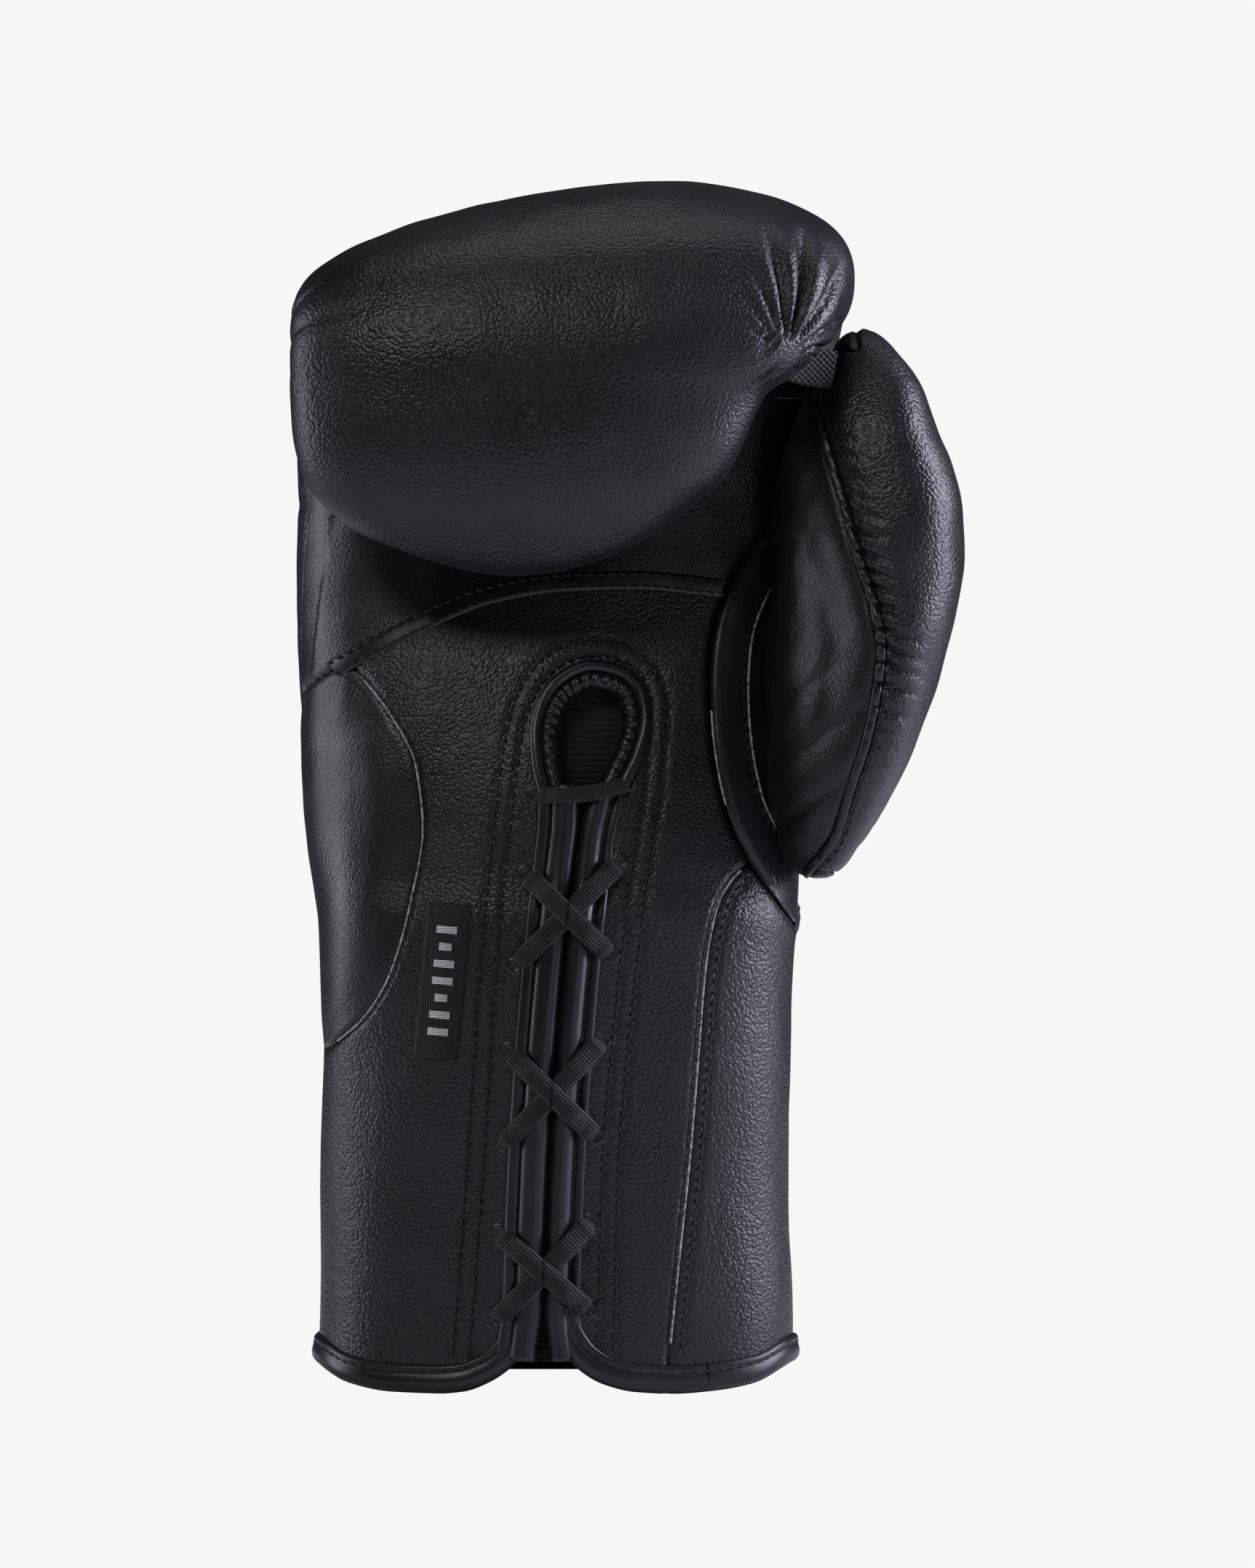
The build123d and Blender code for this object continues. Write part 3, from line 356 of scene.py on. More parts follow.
class NodeTool:
    """Short calls for building one material's node tree."""

    def __init__(self, name: str) -> None:
        """Start an empty material with one surface shader."""
        self.material = bpy.data.materials.new(name)
        self.material.use_nodes = True
        self.tree = self.material.node_tree
        self.surface = self.tree.nodes["Principled BSDF"]

    def add(self, kind: str, **options: str) -> bpy.types.Node:
        """Add a node of one kind and set its options."""
        node = self.tree.nodes.new(kind)
        for key, value in options.items():
            setattr(node, key, value)
        return node

    def link(self, source: bpy.types.NodeSocket, target: bpy.types.NodeSocket) -> None:
        """Join two sockets."""
        self.tree.links.new(source, target)

    def noise(self, place: bpy.types.NodeSocket, scale: float, detail: float) -> bpy.types.Node:
        """Add a noise texture read at a place."""
        node = self.add("ShaderNodeTexNoise")
        node.inputs["Scale"].default_value = scale
        node.inputs["Detail"].default_value = detail
        self.link(place, node.inputs["Vector"])
        return node

    def ramp(
        self,
        source: bpy.types.NodeSocket,
        low: float,
        first: Sequence[float],
        high: float,
        last: Sequence[float],
    ) -> bpy.types.Node:
        """Add a two-stop colour ramp.

        Args:
            source: value to map.
            low: place of the first stop.
            first: colour of the first stop.
            high: place of the last stop.
            last: colour of the last stop.

        Returns:
            The ramp node.
        """
        node = self.add("ShaderNodeValToRGB")
        node.color_ramp.elements[0].position = low
        node.color_ramp.elements[0].color = (*first, 1.0)
        node.color_ramp.elements[1].position = high
        node.color_ramp.elements[1].color = (*last, 1.0)
        self.link(source, node.inputs["Fac"])
        return node

    def bump(
        self,
        height: bpy.types.NodeSocket,
        depth: float,
        under: bpy.types.Node | None,
        invert: bool = False,
    ) -> bpy.types.Node:
        """Add a bump on top of another one.

        Args:
            height: height socket, 0 to 1.
            depth: depth in metres.
            under: bump that this one lies on, if any.
            invert: whether high values go inwards.

        Returns:
            The bump node.
        """
        node = self.add("ShaderNodeBump")
        node.invert = invert
        node.inputs["Strength"].default_value = 1.0
        node.inputs["Distance"].default_value = depth
        self.link(height, node.inputs["Height"])
        if under is not None:
            self.link(under.outputs[0], node.inputs["Normal"])
        return node


class Finishes:
    """All the glove's materials."""

    def __init__(self) -> None:
        """Make every material once."""
        self.grain = Leather("grain_leather", (0.0040, 0.0042, 0.0062), 0.37, 0.0009, 0.00021).make()
        self.palm = Leather("palm_leather", (0.0038, 0.0040, 0.0058), 0.38, 0.0009, 0.00021).make()
        self.smooth = Leather("smooth_leather", (0.0034, 0.0036, 0.0053), 0.37, 0.0007, 0.0001).make()
        self.binding = Leather("binding_leather", (0.0048, 0.0050, 0.0072), 0.36, 0.0005, 0.00003).make()
        self.thread = Plain("stitch_thread", (0.0022, 0.0022, 0.003), 0.6, 0.0006).make()
        self.frayed = Plain("frayed_edge", (0.24, 0.24, 0.25), 0.8, 0.0012, 0.75).make()
        self.lace = Woven("lace_weave", (0.0042, 0.0042, 0.0052), 0.0009, Thread.TWILL, 0.00022).make()
        self.webbing = Woven("webbing_weave", (0.007, 0.007, 0.009), 0.0012, Thread.TWILL, 0.0003).make()
        self.lining = Woven("lining_cloth", (0.012, 0.012, 0.013), 0.0008, Thread.PLAIN, 0.00012).make()
        self.rib = Woven("tongue_rib", (0.004, 0.004, 0.005), 0.0016, Thread.RIB, 0.0005).make()
        self.label = Woven("label_weave", (0.0035, 0.0035, 0.0045), 0.0006, Thread.PLAIN, 0.0001).make()
        self.label_light = Woven("label_light_weave", (0.45, 0.45, 0.46), 0.0006, Thread.PLAIN, 0.0001).make()


# ---------------------------------------------------------------- meshes
@dataclass
class Soup:
    """Points and faces in millimetres, with a distance to the nearest cut edge.

    Args:
        points: one row per point.
        normals: outward direction at each point.
        faces: tuples of point numbers.
        edge: distance of each point from the cut edges.
    """

    points: Array
    normals: Array
    faces: list[tuple[int, ...]]
    edge: Array

    def cut(self, values: Array, seam: bool = True) -> "Soup":
        """Keep the side where values are positive.

        Args:
            values: signed distance of each point from the cut.
            seam: whether the cut edge counts as a sewn edge.

        Returns:
            What is left, with new points on the cut.
        """
        inside = values > 0
        flags = inside.tolist()
        made: dict[tuple[int, int], int] = {}
        sources: list[tuple[int, int]] = []
        base = len(self.points)
        kept: list[tuple[int, ...]] = []
        for face in self.faces:
            states = [flags[i] for i in face]
            if all(states):
                kept.append(face)
                continue
            if not any(states):
                continue
            ring: list[int] = []
            for k, i in enumerate(face):
                j = face[(k + 1) % len(face)]
                if flags[i]:
                    ring.append(i)
                if flags[i] != flags[j]:
                    key = (i, j) if i < j else (j, i)
                    if key not in made:
                        made[key] = base + len(sources)
                        sources.append(key)
                    ring.append(made[key])
            if len(ring) > 2:
                kept.append(tuple(ring))
        pairs = np.array(sources, int).reshape(-1, 2)
        first, last = values[pairs[:, 0]], values[pairs[:, 1]]
        share = np.clip(first / (first - last + 1e-12), 0.0, 1.0)[:, None]

        def between(rows: Array) -> Array:
            """Values at the new points."""
            flat = rows.reshape(base, -1)
            new = flat[pairs[:, 0]] * (1 - share) + flat[pairs[:, 1]] * share
            return np.concatenate([flat, new]).reshape((-1,) + rows.shape[1:])

        edge = between(self.edge)
        if seam:
            edge = np.minimum(edge, np.abs(between(values)))
        return Soup(between(self.points), between(self.normals), kept, edge).tidy()

    def tidy(self) -> "Soup":
        """Drop the points that no face uses."""
        used = np.unique(np.concatenate([np.array(face) for face in self.faces])) if self.faces else np.array([0])
        number = np.full(len(self.points), -1)
        number[used] = np.arange(len(used))
        renumber = number.tolist()
        faces = [tuple(renumber[i] for i in face) for face in self.faces]
        return Soup(self.points[used], self.normals[used], faces, self.edge[used])

    def shift(self, height: Array) -> "Soup":
        """Move each point out along its normal."""
        return Soup(self.points + self.normals * height[:, None], self.normals, self.faces, self.edge)

    def rolled(self, depth: float, reach: float) -> "Soup":
        """Turn the cut edges down into their seams."""
        return self.shift(-depth * (1 - smooth(0.0, reach, self.edge)) ** 1.5)


def join(parts: Sequence[Soup]) -> Soup:
    """Put several soups into one."""
    faces: list[tuple[int, ...]] = []
    start = 0
    for part in parts:
        faces.extend(tuple(i + start for i in face) for face in part.faces)
        start += len(part.points)
    return Soup(
        np.concatenate([part.points for part in parts]),
        np.concatenate([part.normals for part in parts]),
        faces,
        np.concatenate([part.edge for part in parts]),
    )


def grid_faces(rows: int, columns: int, round_columns: bool) -> list[tuple[int, ...]]:
    """Faces of a grid of points, closed round its columns if asked."""
    last = columns if round_columns else columns - 1
    r, c = np.meshgrid(np.arange(rows - 1), np.arange(last), indexing="ij")
    n = (c + 1) % columns
    quads = np.stack([r * columns + c, r * columns + n, (r + 1) * columns + n, (r + 1) * columns + c], axis=-1)
    return [tuple(q) for q in quads.reshape(-1, 4).tolist()]


class Skin:
    """Smooth skin through rounded sections."""

    def __init__(
        self, stations: Sequence[Sequence[float]], row_step: float, columns: int, shear: float = 0.0
    ) -> None:
        """Build the grid of points.

        Args:
            stations: rows of run, height, turn in degrees, left, right, inner, outer, squareness.
            row_step: distance between rows.
            columns: points in each row.
            shear: how far the pinky side leans back, per unit of width.
        """
        table = np.array(stations, float)
        runs = np.arange(table[0, 0], table[-1, 0] + 0.5 * row_step, row_step)
        runs = np.minimum(runs, table[-1, 0])
        rows = pchip(table[:, 0], table[:, 1:], runs)
        angle = np.linspace(-0.5 * math.pi, 1.5 * math.pi, 1441)
        self.points = np.zeros((len(runs), columns, 3))
        for number, (height, turn, left, right, inner, outer, power) in enumerate(rows):
            cos, sin = np.cos(angle), np.sin(angle)
            x = (left + right) / 2 + (right - left) / 2 * np.sign(cos) * np.abs(cos) ** (2 / power)
            r = (inner + outer) / 2 + (outer - inner) / 2 * np.sign(sin) * np.abs(sin) ** (2 / power)
            r = r + shear * ((left + right) / 2 - x)
            run = np.concatenate([[0.0], np.cumsum(np.hypot(np.diff(x), np.diff(r)))])
            even = np.linspace(0, run[-1], columns + 1)[:-1]
            x, r = np.interp(even, run, x), np.interp(even, run, r)
            way = math.radians(turn)
            self.points[number, :, 0] = x
            self.points[number, :, 1] = CROOK_Y + r * math.cos(way)
            self.points[number, :, 2] = height + r * math.sin(way)
        self.run = np.repeat(runs[:, None], columns, axis=1)
        self.columns = columns
        self.refresh()

    def refresh(self) -> None:
        """Work out the normals again."""
        along = np.gradient(self.points, axis=0)
        across = np.roll(self.points, -1, axis=1) - np.roll(self.points, 1, axis=1)
        normal = np.cross(across, along)
        size = np.linalg.norm(normal, axis=2, keepdims=True)
        self.normals = normal / np.maximum(size, 1e-9)

    def displace(self, height: Array) -> None:
        """Move the points out along their normals and refresh them."""
        self.points = self.points + self.normals * height.reshape(self.points.shape[:2])[..., None]
        self.refresh()

    def flat(self) -> Array:
        """All points as rows."""
        return self.points.reshape(-1, 3)

    def soup(self) -> Soup:
        """The whole skin as a soup."""
        rows, columns = self.points.shape[:2]
        points = self.flat().copy()
        return Soup(
            points,
            self.normals.reshape(-1, 3).copy(),
            grid_faces(rows, columns, True),
            np.full(len(points), 99.0),
        )


class Surface:
    """Front view of a soup: finds the point and the normal behind x and z."""

    def __init__(self, soup: Soup) -> None:
        """Build the search tree."""
        self.tree = BVHTree.FromPolygons(soup.points.tolist(), soup.faces)

    def lift(self, x: Array, z: Array) -> tuple[Array, Array]:
        """Find surface points and normals seen from the palm side.

        Args:
            x: places along x.
            z: places along z.

        Returns:
            Points and outward normals.
        """
        points = np.zeros((len(x), 3))
        normals = np.zeros((len(x), 3))
        centre = float(np.mean(x))
        for k, (one, two) in enumerate(zip(x, z)):
            for pull in (0.0, 1.0, 2.0, 4.0, 8.0, 14.0):
                reach = one + pull * (1 if centre > one else -1) if pull else one
                hit, normal, _, _ = self.tree.ray_cast(Vector((reach, -200.0, two)), Vector((0, 1, 0)))
                if hit is not None:
                    break
            if hit is None:
                hit, normal = Vector((one, SIDE_Y, two)), Vector((0, -1, 0))
            if normal.y > 0:
                normal = -normal
            points[k] = (one, hit.y, two)
            normals[k] = normal
        return points, normals


def side_of(line: Array) -> Array:
    """Unit direction to the right of a front-view line, at each of its points."""
    way = np.gradient(line, axis=0)
    way /= np.maximum(np.linalg.norm(way, axis=1, keepdims=True), 1e-9)
    return np.stack([way[:, 1], -way[:, 0]], axis=1)


def ribbon(
    lift: Lift,
    line: Array,
    profile: Sequence[Sequence[float]],
    closed: bool = False,
    ripple: Callable[[Array, Array], Array] | None = None,
) -> Soup:
    """Strip that follows a surface along a front-view line.

    Args:
        lift: finds surface points and normals from x and z.
        line: rows of x and z.
        profile: rows of offset to the right of the line and height over the surface.
        closed: whether the line joins up with its start.
        ripple: extra height from distance along and offset.

    Returns:
        The strip.
    """
    side = side_of(line)
    if closed:
        way = np.roll(line, -1, axis=0) - np.roll(line, 1, axis=0)
        way /= np.linalg.norm(way, axis=1, keepdims=True)
        side = np.stack([way[:, 1], -way[:, 0]], axis=1)
    shape = np.array(profile, float)
    rows, columns = len(line), len(shape)
    where = line[:, None, :] + side[:, None, :] * shape[None, :, :1]
    points, normals = lift(where[..., 0].ravel(), where[..., 1].ravel())
    normals = normals.reshape(rows, columns, 3).mean(axis=1, keepdims=True).repeat(columns, axis=1)
    normals /= np.linalg.norm(normals, axis=2, keepdims=True)
    height = np.tile(shape[:, 1], (rows, 1))
    if ripple is not None:
        run = np.concatenate([[0.0], np.cumsum(np.linalg.norm(np.diff(line, axis=0), axis=1))])
        height = height + ripple(run[:, None], shape[None, :, 0])
    points = points.reshape(rows, columns, 3) + normals * height[..., None]
    flat = points.reshape(-1, 3)
    faces = grid_faces(rows, columns, False)
    if closed:
        start = (rows - 1) * columns
        faces += [(start + c, start + c + 1, c + 1, c) for c in range(columns - 1)]
    return Soup(flat, normals.reshape(-1, 3), faces, np.full(len(flat), 99.0))


def cord_profile(radius: float, height: float, sides: int = 10) -> list[tuple[float, float]]:
    """Round profile for a piping, as offsets and heights."""
    turns = np.linspace(0, 2 * math.pi, sides + 1)
    return [(radius * math.cos(a), height + radius * math.sin(a)) for a in turns]


def tape_profile(width: float, thickness: float, height: float) -> list[tuple[float, float]]:
    """Flat profile with rounded edges, for tapes and raised strips."""
    half, soft = width / 2, 0.45 * thickness
    low, high = height, height + thickness
    return [
        (-half + soft, low), (-half, low + soft), (-half, high - soft), (-half + soft, high - 0.1),
        (-half + 2 * soft, high), (0.0, high + 0.12), (half - 2 * soft, high), (half - soft, high - 0.1),
        (half, high - soft), (half, low + soft), (half - soft, low), (-half + soft, low),
    ]


class Sewing:
    """Makes rows of stitches."""

    RINGS = ((-1.0, 0.0), (-0.8, 0.62), (-0.35, 1.0), (0.35, 1.0), (0.8, 0.62), (1.0, 0.0))

    @classmethod
    def row(
        cls,
        lift: Lift,
        line: Array,
        pitch: float = STITCH_PITCH,
        length: float = 2.2,
        width: float = 0.32,
        height: float = 0.12,
    ) -> Soup:
        """Stitches along a front-view line.

        Args:
            lift: finds surface points and normals.
            line: rows of x and z.
            pitch: distance between stitches.
            length: length of a stitch.
            width: half its width.
            height: how far its middle stands over the surface.

        Returns:
            All the stitches in one soup.
        """
        centres = resample(line, pitch)
        side = side_of(centres)
        ways = np.stack([-side[:, 1], side[:, 0]], axis=1)
        mid, up = lift(centres[:, 0], centres[:, 1])
        ahead, _ = lift(centres[:, 0] + ways[:, 0], centres[:, 1] + ways[:, 1])
        return cls.along(mid, up, ahead - mid, length, width, height)

    @classmethod
    def along(cls, mid: Array, up: Array, way: Array, length: float, width: float, height: float) -> Soup:
        """Stitches at given points, each along its own direction."""
        way = way - up * np.sum(way * up, axis=1, keepdims=True)
        size = np.linalg.norm(way, axis=1, keepdims=True)
        keep = (size[:, 0] > 0.2) & (size[:, 0] < 3.0)
        mid, up, way = mid[keep], up[keep], way[keep] / size[keep]
        across = np.cross(way, up)
        slant = way + 0.1 * across
        corners = 6
        turns = np.linspace(0, 2 * math.pi, corners, endpoint=False)
        count = len(mid)
        cos, sin = np.cos(turns)[None, :, None], np.sin(turns)[None, :, None]
        rings = [
            (mid + up * height + slant * (0.5 * length * t))[:, None, :]
            + width * r * (cos * across[:, None, :] + sin * up[:, None, :])
            for t, r in cls.RINGS
        ]
        points = np.stack(rings, axis=1)
        each = len(cls.RINGS) * corners
        one = np.array(grid_faces(len(cls.RINGS), corners, True))
        faces = (one[None] + (np.arange(count) * each)[:, None, None]).reshape(-1, 4)
        flat = points.reshape(-1, 3)
        return Soup(flat, np.repeat(up, each, axis=0), [tuple(f) for f in faces.tolist()], np.full(len(flat), 99.0))


class Workshop:
    """Turns soups into pieces of the glove and joins them to the frame."""

    def __init__(self) -> None:
        """Start with no pieces."""
        self.made: list[bpy.types.Object] = []

    def piece(
        self,
        name: str,
        soup: Soup,
        material: bpy.types.Material,
        slot: str,
        body: str = "hand",
        replaces: Sequence[str] = (),
        thickness: float = 0.0,
        half: Half | None = None,
    ) -> bpy.types.Object:
        """Make one object.

        Args:
            name: piece name.
            soup: its shape in millimetres.
            material: its finish.
            slot: the record's material slot; not used.
            body: CAD body that it rides on.
            replaces: CAD nodes that it stands for.
            thickness: leather thickness put on the inside, in millimetres.
            half: lacing half it belongs to, if any; the piece is then left unattached to any body.

        Returns:
            The object.
        """
        mesh = bpy.data.meshes.new(name)
        mesh.from_pydata((soup.points * MM).tolist(), [], soup.faces)
        mesh.validate()
        mesh.shade_smooth()
        mesh.materials.append(material)
        piece = bpy.data.objects.new(name, mesh)
        bpy.context.scene.collection.objects.link(piece)
        if thickness:
            solid = piece.modifiers.new("leather thickness", "SOLIDIFY")
            solid.thickness = thickness * MM
            solid.offset = -1.0
        if replaces:
            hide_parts(*replaces)
        if half is None:
            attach(piece, body)
        else:
            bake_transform(piece)
        self.made.append(piece)
        LOG.info("%s: %d points, %d faces", name, len(mesh.vertices), len(mesh.polygons))
        return piece


# ---------------------------------------------------------------- the padded hand
@dataclass
class HandForm:
    """Outer skin of the cuff, the fist and the finger lobe.

    Args:
        stations: run, height, turn, pinky side, thumb side, inner, outer and squareness of each section.
        top_fall: how far the top falls towards the little finger.
        pleat_depth: depth of the pleats beside the thumb's tip.
    """

    stations: tuple[tuple[float, ...], ...] = (
        (-8, -8, 0, -85.0, 44.5, -23.0, 57.0, 2.5),
        (30, 30, 0, -84.2, 44.3, -22.4, 56.0, 2.5),
        (63.5, 63.5, 0, -83.8, 44.0, -21.8, 55.0, 2.5),
        (100, 100, 0, -83.4, 44.1, -21.8, 55.2, 2.5),
        (121, 121, 0, -83.7, 45.3, -22.0, 55.8, 2.5),
        (127, 127, 0, -84.0, 46.2, -22.0, 57.2, 2.5),
        (140, 140, 0, -86.0, 47.0, -19.5, 63.5, 2.5),
        (166, 166, 0, -88.9, 47.4, -15.5, 71.0, 2.5),
        (190, 190, 0, -90.6, 47.8, -9.5, 76.0, 2.55),
        (215, 215, 0, -91.4, 48.5, -3.5, 78.6, 2.6),
        (245, 245, 0, -91.6, 51.5, 1.0, 79.0, 2.6),
        (272, 272, 0, -91.6, 55.5, 2.5, 78.0, 2.6),
        (314.5, 272, 45, -91.3, 59.5, 2.5, 69.0, 2.6),
        (357, 272, 90, -91.0, 61.5, 2.5, 58.2, 2.6),
        (399.5, 272, 135, -91.0, 56.0, 2.5, 55.0, 2.6),
        (442, 272, 180, -91.0, 38.0, 2.5, 50.6, 2.6),
        (452, 262, 180, -90.6, 33.5, 3.0, 50.6, 2.6),
        (459, 255, 180, -89.6, 30.5, 4.2, 49.8, 2.6),
        (467, 247, 180, -87.0, 26.0, 6.0, 48.0, 2.6),
        (472, 242, 180, -84.0, 20.3, 8.0, 46.0, 2.6),
        (479, 235, 180, -76.5, 11.0, 11.0, 42.0, 2.6),
        (485.5, 228.5, 180, -62.5, -1.0, 15.0, 37.0, 2.6),
        (489.4, 224.6, 180, -51.0, -11.4, 19.0, 33.0, 2.6),
        (492, 222, 180, -41.0, -21.0, 22.5, 29.0, 2.6),
        (493, 221, 180, -32.0, -30.0, 25.3, 26.3, 2.6),
    )
    top_fall: float = 8.5
    pleat_depth: float = 5.4

    def build(self) -> Skin:
        """Make the skin with its pleats, creases and soft swell."""
        skin = Skin(self.stations, 1.15, 400)
        x, y, z = skin.flat().T
        run = skin.run.ravel()
        turned = np.sin(np.clip((run - CROOK_Z) / TURN_LENGTH, 0, 1) * math.pi)
        fall = self.top_fall * (np.clip(18.0 - x, 0, None) / 70.0) ** 1.5
        lower = turned * fall * np.clip((z - CROOK_Z) / 58.0, 0, 1)
        skin.points[..., 2] -= lower.reshape(skin.run.shape)
        skin.refresh()
        x, y, z = skin.flat().T
        front = smooth(372.0, 400.0, run) * smooth(30.0, 44.0, x)
        bend = np.arctan2(z - 281.0, x - 42.5)
        distance = np.hypot(x - 42.5, z - 281.0)
        folds = np.abs(np.sin(bend * 9.5 + 0.4 * np.sin(0.13 * distance) + 0.5 * np.sin(3.1 * bend)))
        uneven = 0.75 + 0.25 * np.sin(5.3 * bend + 0.4)
        near, far = smooth(1.0, 8.0, distance), 1 - smooth(30.0, 58.0, distance)
        pleats = uneven * front * (1.0 - folds) ** 1.5 * near * far
        bulge = 1.3 * front * np.sin(np.minimum(distance, 45.0) / 45.0 * math.pi)
        swell = 0.35 * waves(skin.flat(), 42.0, 3) + 0.12 * waves(skin.flat(), 15.0, 5)
        calm = smooth(128.0, 150.0, run)
        palm = (run < 272.0) & (y < 0.0)
        dents = 0.8 * waves(skin.flat() * np.array([1.0, 0.4, 0.55]), 36.0, 9)
        crook = np.exp(-(((x + 91.0) / 16.0) ** 2)) * smooth(225.0, 260.0, run) * (1 - smooth(400.0, 440.0, run))
        side_folds = crook * (1 - np.abs(np.sin((run - 225.0) * math.pi / 17.0))) ** 2.0
        height = swell * (0.35 + 0.65 * calm) + np.where(palm, dents, 0.0)
        height += bulge - self.pleat_depth * pleats - 1.2 * side_folds
        skin.displace(height)
        self.ease_turn(skin)
        return skin

    def ease_turn(self, skin: Skin, passes: int = 40) -> None:
        """Smooth the skin along its length where the fist starts to turn over.

        Args:
            skin: the skin to smooth.
            passes: how many times neighbouring rows are averaged.
        """
        for turn in (CROOK_Z, CROOK_Z + TURN_LENGTH):
            share = np.exp(-(((skin.run[:, :1] - turn) / 9.0) ** 2))[1:-1, :, None]
            for _ in range(passes):
                rows = skin.points
                even = 0.25 * rows[:-2] + 0.5 * rows[1:-1] + 0.25 * rows[2:]
                rows[1:-1] += share * (even - rows[1:-1])
        skin.refresh()


@dataclass
class PalmLines:
    """Seam lines of the palm side, as rows of x and z in front view."""

    arch: tuple = (
        (-92, 190), (-74.4, 200), (-57.8, 208.5), (-38, 216.6), (-18.2, 220), (1.9, 220.6), (25.7, 218.5), (52, 214),
    )
    pinky: tuple = (
        (-75, 197), (-64.6, 184), (-57.6, 170), (-55.7, 153), (-59, 133), (-64.6, 113.6), (-71.6, 102), (-81.5, 93.2),
    )
    cuff: tuple = (
        (32.6, 143.6), (28, 139), (24.5, 133), (21, 116), (18.9, 91), (16.8, 65.5), (13.8, 37), (11, 9), (10, -4),
    )
    gusset: tuple = (
        (60, 262), (53.6, 253), (39.9, 236.7), (28.9, 222.7), (23.3, 208), (21.9, 193), (23.3, 175),
        (27, 156.5), (33.3, 143.4), (39.5, 135), (46.4, 126), (50, 121),
    )
    gusset_outer: tuple = (
        (58, 247), (44.5, 230), (36.6, 214.6), (32.9, 202), (32, 184), (34.3, 165.6), (39.9, 152), (47.5, 137),
    )
    hem: tuple = (
        (-88, 8.0), (-85, 6.8), (-76, 2.6), (-64, 0.6), (-52, 0.4), (-45, 1.0), (-38, 3.4), (-32.6, 6.8),
        (-28.4, 11.5),
        (-25.4, 17.5), (-23.8, 24), (-22.9, 30), (-22.0, 24), (-20.4, 17.5), (-17.4, 11.5), (-13.2, 6.8), (-6.8, 3.0),
        (2, 0.8), (12.8, 0.2), (24, 0.9), (34.3, 2.6), (43.6, 6.8), (48, 8.4),
    )
    throat: tuple = (
        (-23.0, 163.0), (-24.6, 170.0), (-25.3, 178.0), (-23.6, 186.5), (-18.5, 193.6), (-10.0, 197.2), (-1.8, 195.4),
        (3.4, 189.8), (4.6, 182.0), (2.4, 173.0), (-0.9, 166.0), (-2.4, 162.5),
    )
    stitch_outer: tuple = (
        (-47.6, 11), (-44, 60), (-39.8, 120), (-34.3, 172), (-31.5, 186), (-25.0, 197.5), (-15.5, 203.6),
        (-7.0, 204.6),
        (2.5, 201.5), (8.6, 195), (10.9, 186), (9.8, 170), (4.7, 133), (0.6, 98), (-2.3, 63), (-3.7, 13),
    )

    def at(self, name: str, step: float = 1.5) -> Array:
        """A named line, resampled."""
        return resample(getattr(self, name), step)


